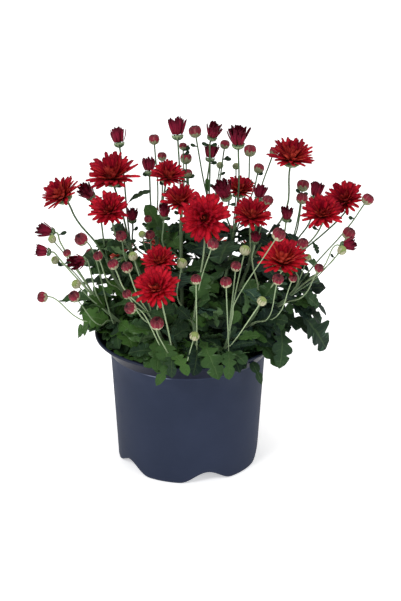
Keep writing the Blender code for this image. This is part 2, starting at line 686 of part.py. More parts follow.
def tube(name, stem, sides, group, turn=0.0):
    """A stem: a curve bevelled by a turned polygon of few sides, made a closed mesh. It thins to its tip."""
    ring = bpy.data.curves.new("section", "CURVE")
    corners = ring.splines.new("POLY")
    corners.points.add(sides - 1)
    for k, corner in enumerate(corners.points):
        angle = turn + k * math.tau / sides
        corner.co = (math.cos(angle), math.sin(angle), 0, 1)
    corners.use_cyclic_u = True
    section = bpy.data.objects.new("section", ring)
    curve = bpy.data.curves.new(name, "CURVE")
    curve.dimensions = "3D"
    curve.bevel_mode = "OBJECT"
    curve.bevel_object = section
    curve.use_fill_caps = True
    line = curve.splines.new("POLY")
    line.points.add(len(stem.path) - 1)
    radii = np.linspace(stem.radius, stem.tip_radius, len(stem.path))
    for point, place, radius in zip(line.points, stem.path, radii):
        point.co = (*place, 1)
        point.radius = radius
    thing = bpy.data.objects.new(name, curve)
    group.objects.link(section)
    group.objects.link(thing)
    mesh = baked_mesh(thing)
    bpy.data.objects.remove(thing, do_unlink=True)
    bpy.data.objects.remove(section, do_unlink=True)
    bpy.data.curves.remove(curve)
    bpy.data.curves.remove(ring)
    shape = bmesh.new()
    shape.from_mesh(mesh)
    bmesh.ops.remove_doubles(shape, verts=shape.verts, dist=0.01 * MM)
    bmesh.ops.recalc_face_normals(shape, faces=shape.faces)
    shape.to_mesh(mesh)
    shape.free()
    return add_object(name, mesh, group)


def globe(name, middle, way, size, group):
    """A bud: a ball of few faces, a little longer than wide along the way it faces."""
    shape = bmesh.new()
    bmesh.ops.create_uvsphere(shape, u_segments=BUD_SIDES, v_segments=BUD_RINGS, radius=0.5 * size)
    bmesh.ops.scale(shape, vec=BUD_STRETCH, verts=shape.verts)
    bmesh.ops.transform(shape, matrix=Matrix.Translation(middle) @ turn_to(way), verts=shape.verts)
    return add_object(name, mesh_from_bmesh(name, shape), group)


def cup(name, bottom, top, top_radius, group):
    """A green cup: a cone between two points."""
    shape = bmesh.new()
    depth = float(np.linalg.norm(top - bottom))
    bmesh.ops.create_cone(
        shape, cap_ends=True, segments=BUD_SIDES, radius1=CUP_BOTTOM_RADIUS, radius2=top_radius, depth=depth
    )
    middle = (top + bottom) / 2
    bmesh.ops.transform(shape, matrix=Matrix.Translation(middle) @ turn_to(top - bottom), verts=shape.verts)
    return add_object(name, mesh_from_bmesh(name, shape), group)


def leaf_outline(lobes):
    """Half widths along a leaf, as rows of (along, across): its foot, then lobes with notches between."""
    rows = [(-0.01, 0.035)]
    for lobe in range(lobes):
        tip = 0.42 + 0.34 * lobe
        rows.append((tip, 0.5 - 0.12 * lobe))
        if lobe < lobes - 1:
            rows.append((tip + 0.13, 0.22))
    return rows


def leaf_solid(name, leaf, group):
    """A leaf: strips between the two edges of its lobed outline, bent along its length, then thickened."""
    shape = bmesh.new()
    pairs = []
    for along, across in leaf_outline(leaf.lobes):
        sides = leaf_points(leaf, [-across, across], [along, along])
        pairs.append([shape.verts.new(point) for point in sides])
    tip = shape.verts.new(leaf_points(leaf, [0.0], [1.0])[0])
    for (left, right), (next_left, next_right) in zip(pairs, pairs[1:]):
        shape.faces.new((left, next_left, next_right))
        shape.faces.new((left, next_right, right))
    shape.faces.new((pairs[-1][0], tip, pairs[-1][1]))
    bmesh.ops.recalc_face_normals(shape, faces=shape.faces)
    thing = add_object(name, mesh_from_bmesh(name, shape), group)
    shell = thing.modifiers.new("thickness", "SOLIDIFY")
    shell.thickness = LEAF_THICKNESS
    shell.offset = 0.0
    apply_modifiers(thing)
    return thing


def head_axes(way):
    """Two directions square to the way a head faces, and to each other."""
    side = unit(np.cross(way, [0.31, 0.47, 0.82]))
    return side, np.cross(way, side)


def pleated_head(name, bottom, way, rings, petals, scale, group, material):
    """A flower head as one closed surface of rings, from its underside out to each layer's tips and back in.

    A ring has two points a petal. In a layer's ring they are its tip and the notch beside it, and each layer
    stands half a petal round from the one below. A ring between two layers is round.
    """
    side, forward = head_axes(way)
    turns = np.arange(2 * petals) * math.pi / petals
    around = np.cos(turns)[:, None] * side + np.sin(turns)[:, None] * forward
    shape = bmesh.new()
    loops = []
    for ring in rings:
        is_tip = (np.arange(2 * petals) + ring.layer) % 2 == 0
        radius = np.where(is_tip, ring.reach, ring.notch) * scale
        height = np.where(is_tip, ring.height, ring.notch_height) * scale
        points = bottom + around * radius[:, None] + way * height[:, None]
        loops.append([shape.verts.new(point) for point in points])
    for lower, upper in zip(loops, loops[1:]):
        for k, corner in enumerate(lower):
            after = (k + 1) % len(lower)
            shape.faces.new((corner, lower[after], upper[after], upper[k]))
    shape.faces.new(loops[0])
    shape.faces.new(loops[-1])
    bmesh.ops.triangulate(shape, faces=[face for face in shape.faces if len(face.verts) == 4])
    bmesh.ops.recalc_face_normals(shape, faces=shape.faces)
    return add_object(name, mesh_from_bmesh(name, shape), group, material)


# The sub-parts

def pot_rings():
    """The pot's inner surface as rings of (radius, height, share of the arches' rise), from the floor up."""
    inner_foot = POT_FOOT_RADIUS - POT_WALL
    collar_foot = POT_COLLAR_FOOT_RADIUS - POT_WALL
    lip = POT_LIP_RADIUS - POT_LIP_TURN
    return [
        (CHANNEL_START, POT_WALL, 0.0),
        (inner_foot - POT_CORNER, POT_WALL, 1.0),
        (inner_foot, POT_WALL + POT_CORNER, 1.0),
        (collar_foot, POT_COLLAR_FOOT_HEIGHT, 0.0),
        (lip - 2.5 * MM, POT_HEIGHT - POT_WALL - 1.0 * MM, 0.0),
        (lip, POT_HEIGHT - POT_WALL, 0.0),
    ]


def arch_rise(angle):
    """How far the foot's edge rises at an angle: a squared cosine over each arch, and nothing between."""
    phase = (angle - ARCH_FIRST + ARCH_PITCH / 2) % ARCH_PITCH - ARCH_PITCH / 2
    inside = np.abs(phase) < ARCH_WIDTH / 2
    return np.where(inside, ARCH_RISE * np.cos(math.pi * phase / ARCH_WIDTH) ** 2, 0.0)


def inner_surface(rings):
    """The rings joined into an open surface, with a fan for the middle of the floor."""
    shape = bmesh.new()
    angles = ARCH_FIRST + np.arange(POT_SIDES) * math.tau / POT_SIDES
    rise = arch_rise(angles)
    hub = shape.verts.new((0, 0, POT_WALL))
    loops = []
    for radius, height, share in rings:
        points = zip(radius * np.cos(angles), radius * np.sin(angles), height + share * rise)
        loops.append([shape.verts.new(point) for point in points])
    for k in range(POT_SIDES):
        after = (k + 1) % POT_SIDES
        shape.faces.new((hub, loops[0][after], loops[0][k]))
        for lower, upper in zip(loops, loops[1:]):
            shape.faces.new((lower[k], lower[after], upper[after]))
            shape.faces.new((lower[k], upper[after], upper[k]))
    return shape, loops


def make_pot(group, cutters, material):
    """The pot: its inner surface thickened outwards, with a drain hole in each arch's channel."""
    shape, _ = inner_surface(pot_rings())
    pot = add_object("nursery_pot", mesh_from_bmesh("nursery_pot", shape), group, material)
    shell = pot.modifiers.new("wall", "SOLIDIFY")
    shell.thickness = POT_WALL
    shell.offset = 1.0
    shell.use_even_offset = True
    for k in range(ARCH_COUNT):
        angle = ARCH_FIRST + k * ARCH_PITCH
        drill = bmesh.new()
        bmesh.ops.create_cone(
            drill, cap_ends=True, segments=6, radius1=DRAIN_RADIUS, radius2=DRAIN_RADIUS, depth=30 * MM
        )
        cutter = add_object(f"drain_cutter_{k + 1}", mesh_from_bmesh("drain_cutter", drill), cutters)
        cutter.location = (DRAIN_CIRCLE * math.cos(angle), DRAIN_CIRCLE * math.sin(angle), 0)
        cutter.hide_render = True
        cutter.display_type = "WIRE"
        cut = pot.modifiers.new(f"drain_{k + 1}", "BOOLEAN")
        cut.operation = "DIFFERENCE"
        cut.object = cutter
        cut.solver = "EXACT"
    return pot


def make_root_ball(sprays, group, cutters, material):
    """The root ball: the pot's inner surface drawn in by the gap, closed by a low mound, with stem holes."""
    rings = pot_rings()[:4]
    shape, loops = inner_surface(rings)
    shape.normal_update()
    shifts = [(vertex, vertex.normal.copy()) for vertex in shape.verts]
    for vertex, normal in shifts:
        vertex.co -= normal * GAP * 1.4
    edge = loops[-1]
    for vertex in edge:
        vertex.co.z -= SOIL_DROP
    inner = []
    height = soil_height(SOIL_INNER_RING)
    for vertex in edge:
        place = vertex.co.xy.normalized() * SOIL_INNER_RING
        inner.append(shape.verts.new((place.x, place.y, height)))
    peak = shape.verts.new((0, 0, soil_height(0)))
    for k in range(POT_SIDES):
        after = (k + 1) % POT_SIDES
        shape.faces.new((edge[k], edge[after], inner[after]))
        shape.faces.new((edge[k], inner[after], inner[k]))
        shape.faces.new((inner[k], inner[after], peak))
    bmesh.ops.recalc_face_normals(shape, faces=shape.faces)
    soil = add_object("root_ball", mesh_from_bmesh("root_ball", shape), group, material)
    for spray in sprays:
        x, y = (value * MM for value in spray.root)
        floor = soil_height(math.hypot(x, y)) - HOLE_DEPTH
        drill = bmesh.new()
        radius = MAIN_RADIUS + 2 * GAP
        bmesh.ops.create_cone(
            drill, cap_ends=True, segments=HOLE_SIDES, radius1=radius, radius2=radius, depth=2 * HOLE_DEPTH
        )
        cutter = add_object(f"hole_cutter_{spray.name}", mesh_from_bmesh("hole_cutter", drill), cutters)
        cutter.location = (x, y, floor + HOLE_DEPTH)
        cutter.hide_render = True
        cutter.display_type = "WIRE"
    cut = soil.modifiers.new("stem_holes", "BOOLEAN")
    cut.operation = "DIFFERENCE"
    cut.operand_type = "COLLECTION"
    cut.collection = cutters
    cut.solver = "EXACT"
    return soil


def make_spray(spray, group, material):
    """A leafy stem, fused in one. Where its surfaces meet badly, its stems' sections are turned a little."""
    for turn in SECTION_TURNS:
        base, parts = spray_pieces(spray, turn, group)
        if fuse(spray.name, base, parts, material) or turn == SECTION_TURNS[-1]:
            return base
        bpy.data.objects.remove(base, do_unlink=True)


def spray_pieces(spray, turn, group):
    """The main stem, and a collection of its side stems, leaves, buds and the cups under the blooms."""
    parts = new_collection(f"pieces_of_{spray.name}")
    climb = np.vstack([spray.main.path[:1], thinned(spray.main.path[1:], 4)])
    base = tube(spray.name, spray.main._replace(path=climb), MAIN_SIDES, group, turn)
    for stem, head in zip(spray.peduncles, spray.heads):
        size, kind = head["size"], head["kind"]
        if kind in ("bud", "green") and size < SMALLEST_BUD:
            continue
        path = np.vstack([stem.path, stem.path[-1] + head["way"] * 1.2 * MM])
        length = np.linalg.norm(path[-1] - path[0])
        path = thinned(path, 3 if length < SHORT_STEM else 4)
        tube("side_stem", Stem(path, stem.radius, stem.tip_radius), SIDE_SIDES, parts, turn)
        if kind in CUP_WIDTH:
            cup("cup", head["stem_end"], head["cup_top"], CUP_WIDTH[kind] * size, parts)
        else:
            globe("bud", head["middle"], head["way"], size, parts)
    for leaf in spray.leaves:
        leaf_solid("leaf", leaf, parts)
    return base, parts


def make_bloom(name, head, group, material):
    """An open bloom, seated the gap above its green cup."""
    bottom = head["cup_top"] + head["way"] * GAP
    radius = 0.5 * head["size"]
    return pleated_head(name, bottom, head["way"], BLOOM_RINGS, BLOOM_PETALS, radius, group, material)


def make_half_open(name, head, group, material):
    """A half-open head: one layer of upright petals, seated the gap above its green cup."""
    bottom = head["cup_top"] + head["way"] * GAP
    return pleated_head(
        name, bottom, head["way"], HALF_OPEN_RINGS, HALF_OPEN_PETALS, head["size"], group, material
    )


def main():
    clear_scene()
    group = new_collection("pot_chrysanthemum")
    drain_cutters = new_collection("drain_cutters")
    hole_cutters = new_collection("hole_cutters")
    slate = plain_material("slate_plastic", (58, 63, 84), 0.55)
    compost = plain_material("compost", (48, 36, 28), 0.95)
    leaf_green = plain_material("leaf_green", (48, 82, 42), 0.6)
    petal_red = plain_material("petal_red", (178, 20, 34), 0.55)
    half_crimson = plain_material("half_open_crimson", (120, 16, 40), 0.6)
    sprays = lay_out()
    blooms = halves = 0
    for number, spray in enumerate(sprays, 1):
        make_spray(spray._replace(name=f"leafy_stem_{number:02d}_{spray.name}"), group, leaf_green)
        for head in spray.heads:
            if head["kind"] == "bloom":
                blooms += 1
                make_bloom(f"bloom_{blooms:02d}", head, group, petal_red)
            elif head["kind"] == "half":
                halves += 1
                make_half_open(f"half_open_{halves:02d}", head, group, half_crimson)
    make_pot(group, drain_cutters, slate)
    make_root_ball(sprays, group, hole_cutters, compost)


main()
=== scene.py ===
"""The looks of the pot chrysanthemum: a slate nursery pot, compost, leafy stems, buds and red blooms.

Metres, +Z up. The origin is the middle of the pot's underside, and -Y is the side that the picture shows.
The first half lays the plant out as the CAD does, and adds the leaves that the solids are too few to hold.
The second half grows the fine surfaces on that layout. Each is a grid of points worked out as whole arrays,
and its docstring gives the rule.
"""

import math
from collections import namedtuple

import bmesh
import bpy
import numpy as np
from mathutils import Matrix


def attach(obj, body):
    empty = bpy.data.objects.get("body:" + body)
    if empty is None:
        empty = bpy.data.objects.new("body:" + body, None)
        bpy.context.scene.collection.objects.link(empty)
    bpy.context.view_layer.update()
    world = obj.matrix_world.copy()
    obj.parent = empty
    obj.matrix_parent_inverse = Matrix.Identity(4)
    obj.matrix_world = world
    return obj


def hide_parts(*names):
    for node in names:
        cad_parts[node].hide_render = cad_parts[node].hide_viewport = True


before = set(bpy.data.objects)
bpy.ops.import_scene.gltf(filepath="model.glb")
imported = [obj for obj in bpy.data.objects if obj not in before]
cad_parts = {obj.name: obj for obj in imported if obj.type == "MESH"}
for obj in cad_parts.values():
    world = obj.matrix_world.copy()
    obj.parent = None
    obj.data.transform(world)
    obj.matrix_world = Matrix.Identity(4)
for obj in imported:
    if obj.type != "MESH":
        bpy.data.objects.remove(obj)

MM = 0.001
SEED = 7
GAP = 0.3 * MM  # clearance between pieces that touch

# Pot
POT_WALL = 1.3 * MM
POT_HEIGHT = 139.5 * MM
POT_FOOT_RADIUS = 72.6 * MM
POT_COLLAR_FOOT_RADIUS = 79.5 * MM
POT_COLLAR_FOOT_HEIGHT = 121.0 * MM
POT_LIP_RADIUS = 95.0 * MM
POT_CORNER = 2.6 * MM
ARCH_COUNT = 5
ARCH_PITCH = 2 * math.pi / ARCH_COUNT
ARCH_FIRST = math.radians(-74)  # the arch that shows right of the front
ARCH_WIDTH = math.radians(46)
ARCH_RISE = 11.0 * MM
CHANNEL_START = 34.0 * MM  # the floor is flat inside this radius
DRAIN_RADIUS = 4.0 * MM
DRAIN_CIRCLE = 43.0 * MM

# Root ball
SOIL_DROP = 3.0 * MM  # of the soil's edge below the collar's foot
SOIL_CROWN = 5.0 * MM
HOLE_DEPTH = 26.0 * MM

# Stems, leaves and heads
MAIN_RADIUS = 2.1 * MM
MAIN_TIP_RADIUS = 1.5 * MM
PEDUNCLE_RADIUS = 1.3 * MM
LOWEST_BRANCH = 0.4  # as a fraction of the main stem
HIGHEST_BRANCH = 0.98
BRANCH_STEP = 0.06  # side stems leave the main stem at least about this far apart
BRANCH_CROWDING = 0.7  # or this share of it, where they crowd at its foot
BRANCH_DROP = 20.0 * MM  # a side stem leaves the main stem this far below its foot
BRANCH_SLOPE = 0.35  # and lower by this share of its way out
LEAVING_RISE = 6.0 * MM  # it first runs up the main stem by this
LEAVING_SHARE = 0.35  # and turns this share of the way to its foot
TURN_IN_SHARE = 0.22  # of the way from its foot to its end, it is in line with its head
MAIN_POINTS = 9
SIDE_POINTS = 8
LEAVES_PER_STEM = 5
LEAF_TRIES = 160
PLACED_TRIES = 800
STEM_SAMPLE_STEP = 2.0 * MM
STEM_MARGIN = 1.0 * MM
LEAF_SAMPLE_STEP = 3.0 * MM
SAMPLED_STALK = 0.25  # up to this share of its length, a leaf's samples are a stalk's
SAMPLED_STALK_WIDTH = 0.15  # and spread over this share of its width
STALK_REACH = 11.0 * MM  # nearer its own stem than this, a leaf may touch it
SOIL_CLEARANCE = 3.0 * MM
POT_CLEARANCE = 4.0 * MM
COLLAR_SLOPE = 1.2  # of the surface over the collar that leaves stay above
LEAF_REACH = 2.1 * MM  # the radius of the spheres that stand for a leaf
OTHER_CLEARANCE = 2.9 * MM  # between a leaf's middle surface and another spray
OWN_CLEARANCE = 0.5 * MM
PLACED_CLEARANCE = -1.0 * MM  # a leaf placed by its tip may touch its own stems
LEAF_PLACES = (0.16, 0.98)  # along the main stem
LEAF_LENGTH = (38.0 * MM, 56.0 * MM)
LONGEST_LEAF = 78.0 * MM
LEAF_WIDTH = (0.56, 0.7)  # in leaf lengths
LEAF_TURN = 1.15  # the spread of its direction about straight outwards, in radians
LEAF_RISE = (-8, 38)  # above level, in degrees
LEAF_ROLL = 0.35
LEAF_DROOP = (0.35, 1.1)
LEAF_FOLD = 0.25  # the slope of each half of a blade up from its midrib
THIRD_LEAF_LOSS = 0.12  # a stem's third leaf is shorter by this share
LEAF_LEAN = (0, -0.35, 1)  # the upper face of a leaf placed by its tip is turned up and to the viewer
TIP_SCATTER = 12.0 * MM  # such a leaf's tip is within this of its depth
PLACED_DROOP = (0.4, 1.9)
CUP_DEPTH = 5.0 * MM  # of the green cup under a bloom
# In head sizes: how high a head's middle is above the top of its cup, and how deep the cup is. A bud has
# none, and its stem ends inside it.
HEAD_RISE = {"bloom": 0.16, "half": 0.5, "bud": 0.42, "green": 0.42}
CUP_SHARE = {"half": 0.25, "bud": -0.1, "green": -0.1}
FOOT_SHARE = 0.72  # a stem's foot is this far out from the root to its head
HIDDEN_FOOT_SHARE = 0.4  # and this far down from its head where it is out of sight
HIDDEN_FOOT_AIM = 150.0 * MM  # the height that it runs down to
MAIN_AIM = 30.0 * MM  # a main stem's top is on the line from this height above its root
MAIN_TOP_SHARE = 0.75  # this far along, to the middle of the feet
MAIN_LEAST_RISE = 34.0 * MM
MAIN_COLLAR = 2.0 * MM  # it is straight up to this height above the soil
MAIN_PULL = (0.5, 0.35)  # how far it runs upright, and how far it leans before its top
MAIN_LEAN = (0.6, 0.6, 1)  # the share of each direction in that lean

# The picture: its frame in pixels, and where it was taken from
PICTURE_LENGTH = 601
PICTURE_MIDDLE = (200.5, 300.5)
PICTURE_FOCAL = 1872.0  # pixels
VIEW_PLACE = (12.9 * MM, -1750.0 * MM, 914.6 * MM)
VIEW_TILT = math.radians(23)

Stem = namedtuple("Stem", "path radius tip_radius")
Leaf = namedtuple("Leaf", "base along normal length width droop")
Spray = namedtuple("Spray", "name main peduncles heads leaves")

# A head: its kind, place in the picture (across, down), depth behind the axis and width in mm, the place
# in the picture where its stem goes into the leaves (None where that is hidden), and the way it faces in
# degrees (turn from the viewer to the right, rise above level; None follows its stem).
Head = namedtuple("Head", "kind across down depth size foot turn rise", defaults=(None, None, None))

# Each spray: the place of its root in mm, and its heads
SPRAYS = {
    "left_low": ((-57, -14), [
        ("half", 44, 230, 5, 15, (62, 246), -80, 20),
        ("green", 52, 239, -25, 8, (66, 256)),
        ("half", 41, 251, -30, 13, (62, 262), -85, 10),
        ("green", 55, 260, -5, 8, (72, 270)),
        ("bud", 67, 253, -35, 8, (80, 274)),
        ("half", 77, 262, -62, 16, (92, 278), -35, 12),
        ("green", 76, 284, -50, 9, (92, 300)),
        ("bud", 74, 296, -62, 11, (98, 325)),
        ("bud", 42, 297, -30, 11, (82, 321), -80, 12),
        ("bud", 81, 239, -36, 13, (111, 318), -50, 50),
    ]),
    "left": ((-50, 10), [
        ("bloom", 61, 193, 12, 41, (78, 222), -60, 58),
        ("half", 86, 191, 48, 17, (100, 214), -50, 50),
        ("bud", 98, 256, -38, 9.5, (108, 282)),
    ]),
    "left_rear": ((-36, 28), [
        ("bloom", 112, 173, 42, 52, (120, 204), -20, 72),
        ("half", 118, 135, 88, 17, (124, 178)),
        ("bloom", 109, 209, -6, 40, (116, 236), -12, 54),
        ("bud", 121, 236, -20, 11, (126, 262)),
    ]),
    "rear_left": ((-20, 44), [
        ("bud", 154, 139, 74, 11, (158, 190)),
        ("bud", 162, 156, 92, 9.5, (162, 200)),
        ("half", 149, 164, 94, 15, (151, 208)),
        ("bloom", 168, 174, 38, 35, (162, 206), 25, 66),
        ("half", 132, 214, 40, 13, (134, 246)),
        ("bud", 148, 219, 22, 8, (150, 240)),
        ("green", 142, 234, 4, 7, (146, 250)),
        ("bud", 150, 235, 10, 10, (152, 254)),
    ]),
    "middle_left": ((-6, 20), [
        ("half", 177, 126, 70, 19, (180, 176)),
        ("bud", 183, 146, 86, 8, (184, 186)),
        ("bud", 186, 158, 100, 12, (187, 196)),
        ("bud", 188, 173, 80, 9, (189, 200)),
        ("bloom", 180, 199, 8, 38, (180, 226), -10, 70),
        ("half", 164, 210, -16, 13, (163, 246)),
    ]),
    "middle_right": ((14, 44), [
        ("bud", 195, 131, 56, 13, (203, 178)),
        ("half", 214, 130, 62, 16, (210, 168), 60, 74),
        ("half", 211, 151, 80, 15, (207, 184)),
        ("bud", 225, 144, 94, 10, (219, 184)),
        ("green", 220, 165, 108, 7, (216, 192)),
    ]),
    "rear_right": ((34, 36), [
        ("half", 238, 135, 14, 20, (239, 182)),
        ("bud", 250, 150, 86, 13, (248, 186)),
        ("bud", 259, 168, 90, 11, (253, 192)),
        ("green", 236, 166, 104, 7, (236, 192)),
        ("bloom", 240, 188, 52, 33, (238, 214), 20, 76),
        ("half", 223, 189, 24, 19, (226, 214), -60, 66),
    ]),
    "right_rear": ((44, 12), [
        ("bloom", 292, 155, 44, 46, (286, 212), 30, 78),
        ("bud", 274, 151, 66, 9, (260, 192)),
        ("half", 260, 191, 34, 14, (256, 220)),
        ("bud", 268, 200, 20, 11, (262, 224)),
        ("bloom", 252, 214, -8, 40, (250, 240), 15, 68),
    ]),
    "right": ((58, 22), [
        ("bud", 303, 185, 72, 13, (298, 218)),
        ("bud", 302, 198, 40, 12, (298, 226)),
        ("half", 317, 189, 52, 16, (310, 222)),
        ("bloom", 322, 212, 2, 42, (312, 240), -10, 62),
        ("bloom", 344, 198, 36, 41, (330, 228), -30, 54),
        ("half", 287, 213, 8, 13, (284, 240)),
    ]),
    "right_low": ((62, -8), [
        ("bud", 368, 199, 18, 12, (346, 230)),
        ("bud", 349, 233, -16, 13, (332, 262)),
        ("half", 350, 244, -34, 13, (322, 270), 80, 15),
        ("green", 342, 250, -50, 9, (314, 280)),
        ("bud", 319, 268, -52, 9, (304, 296)),
        ("bud", 303, 243, -22, 11, (296, 270)),
        ("green", 308, 257, -38, 6.5, (300, 278)),
    ]),
    "front_right": ((46, -34), [
        ("bloom", 283, 258, -64, 48, (272, 286), 12, 72),
        ("half", 256, 237, -44, 10, (252, 262)),
        ("bud", 278, 279, -94, 11, (269, 318)),
        ("bud", 293, 278, -78, 8, (278, 316)),
    ]),
    "front_middle_right": ((34, -60), [
        ("bud", 226, 282, -94, 11, (229, 360)),
        ("green", 262, 301, -96, 9, (233, 343)),
        ("bud", 236, 266, -78, 10, (229, 330)),
        ("bud", 279, 234, -92, 13, (237, 298)),
        ("green", 245, 250, -62, 10, (234, 300)),
    ]),
    "front_middle": ((8, -60), [
        ("bloom", 205, 218, -52, 50, (204, 252), 2, 27),
        ("bud", 213, 244, -84, 11, (202, 276)),
        ("bud", 196, 279, -92, 10, (197, 352)),
        ("green", 194.5, 336, -102, 9, (187, 362)),
        ("green", 182, 263, -52, 10, (177, 298)),
    ]),
    "front_left": ((-18, -58), [
        ("bloom", 156, 287, -100, 43, (172, 350), -15, 50),
        ("bloom", 159, 260, -60, 34, (162, 290), -10, 66),
        ("bud", 157, 323, -114, 13, (171, 358), 0, 70),
        ("bud", 130, 308, -104, 11.5, (163, 352), -60, 30),
        ("bud", 127, 294, -88, 9, (142, 318)),
        ("bud", 113, 264, -62, 10.5, (126, 292)),
        ("bud", 127, 267, -74, 11, (138, 296)),
        ("green", 133, 256, -52, 9, (142, 284)),
    ]),
    "back_left": ((-26, 60), [
        ("bloom", 118, 252, 112, 44, None, 215, 58),
        ("bloom", 162, 240, 138, 42, None, 190, 50),
        ("bud", 90, 254, 84, 12),
        ("half", 122, 234, 78, 15),
        ("green", 176, 246, 122, 8),
    ]),
    "back_right": ((26, 60), [
        ("bloom", 208, 244, 140, 46, None, 170, 48),
        ("bloom", 256, 250, 118, 42, None, 140, 56),
        ("bud", 230, 230, 112, 12),
        ("half", 280, 246, 96, 15),
        ("bud", 288, 252, 78, 11),
        ("green", 192, 248, 128, 8),
    ]),
}

# The leaves that stand out in the picture: the place of the tip (across, down), its depth behind the axis
# and the width in mm
PLACED_LEAVES = {
    "right_low": [((326, 349), -26, 38), ((279, 369), -56, 24)],
    "right": [((326, 288), 4, 26)],
    "rear_left": [((145, 205), 48, 24)],
    "front_middle_right": [((240, 373), -114, 20)],
    "front_middle": [((219, 380), -114, 24), ((193, 376), -112, 20)],
    "front_left": [((168, 376), -112, 22), ((157, 371), -108, 20)],
    "left_low": [((78, 337), -20, 26), ((79, 309), -2, 24)],
}


# Layout: numpy only, the same each run

def unit(vector):
    """The vector at length 1, or nothing where it has no length."""
    vector = np.asarray(vector, float)
    return vector / max(np.linalg.norm(vector), 1e-12)


def even_circle(sides):
    """The angles of a number of points evenly round a circle."""
    return np.arange(sides) * math.tau / sides


def picture_point(across, down, depth):
    """The point seen at a place in the picture, on the upright plane a depth behind the pot's axis."""
    side = (across - PICTURE_MIDDLE[0]) / PICTURE_FOCAL
    rise = (PICTURE_MIDDLE[1] - down) / PICTURE_FOCAL
    cos, sin = math.cos(VIEW_TILT), math.sin(VIEW_TILT)
    sight = np.array([side, cos + rise * sin, rise * cos - sin])
    return np.array(VIEW_PLACE) + sight * (depth - VIEW_PLACE[1]) / sight[1]


def facing(turn, rise):
    """The way a head faces: turned from the viewer to the right, and raised above level, in degrees."""
    turn, rise = math.radians(turn), math.radians(rise)
    return np.array([math.sin(turn) * math.cos(rise), -math.cos(turn) * math.cos(rise), math.sin(rise)])


def smooth_path(corners, count):
    """Points along a Catmull-Rom curve through the corners, evenly spaced in its parameter."""
    corners = np.asarray(corners, float)
    ends = np.vstack([2 * corners[0] - corners[1], corners, 2 * corners[-1] - corners[-2]])
    place = np.linspace(0, len(corners) - 1 - 1e-9, count)
    first = place.astype(int)
    t = (place - first)[:, None]
    a, b, c, d = (ends[first + step] for step in range(4))
    return 0.5 * (2 * b + (c - a) * t + (2 * a - 5 * b + 4 * c - d) * t**2 + (3 * b - a - 3 * c + d) * t**3)


def arch_path(start, start_pull, end_pull, end, count):
    """Points along a cubic Bezier curve, which leaves towards one pull and arrives from the other."""
    t = np.linspace(0, 1, count)[:, None]
    pulled = 3 * (1 - t) ** 2 * t * start_pull + 3 * (1 - t) * t**2 * end_pull
    return (1 - t) ** 3 * start + pulled + t**3 * end


def along_path(path, fraction):
    """The point and the direction at a fraction of a path's parameter."""
    place = min(max(fraction, 0.0), 1.0) * (len(path) - 1)
    first = min(int(place), len(path) - 2)
    step = path[first + 1] - path[first]
    return path[first] + step * (place - first), unit(step)


def soil_height(radius):
    """The root ball's top: highest in the middle, and falling with the square of the radius."""
    edge = POT_COLLAR_FOOT_RADIUS - POT_WALL
    return POT_COLLAR_FOOT_HEIGHT - SOIL_DROP + SOIL_CROWN * (1 - (radius / edge) ** 2)


def place_head(head, root):
    """Works out a head's middle, the way it faces, its stem's end and where the stem meets the leaves."""
    size = head.size * MM
    middle = picture_point(head.across, head.down, head.depth * MM)
    if head.foot is None:
        low = np.array([root[0], root[1], HIDDEN_FOOT_AIM])
        foot = middle + (low - middle) * HIDDEN_FOOT_SHARE
    else:
        depth = root[1] + FOOT_SHARE * (head.depth * MM - root[1])
        foot = picture_point(*head.foot, depth)
    way = unit(middle - foot) if head.turn is None else facing(head.turn, head.rise)
    cup_top = middle - way * HEAD_RISE[head.kind] * size
    cup_depth = CUP_DEPTH if head.kind == "bloom" else CUP_SHARE[head.kind] * size
    stem_end = cup_top - way * cup_depth
    return dict(
        kind=head.kind, size=size, middle=middle, way=way, cup_top=cup_top, stem_end=stem_end, foot=foot,
        hidden=head.foot is None,
    )


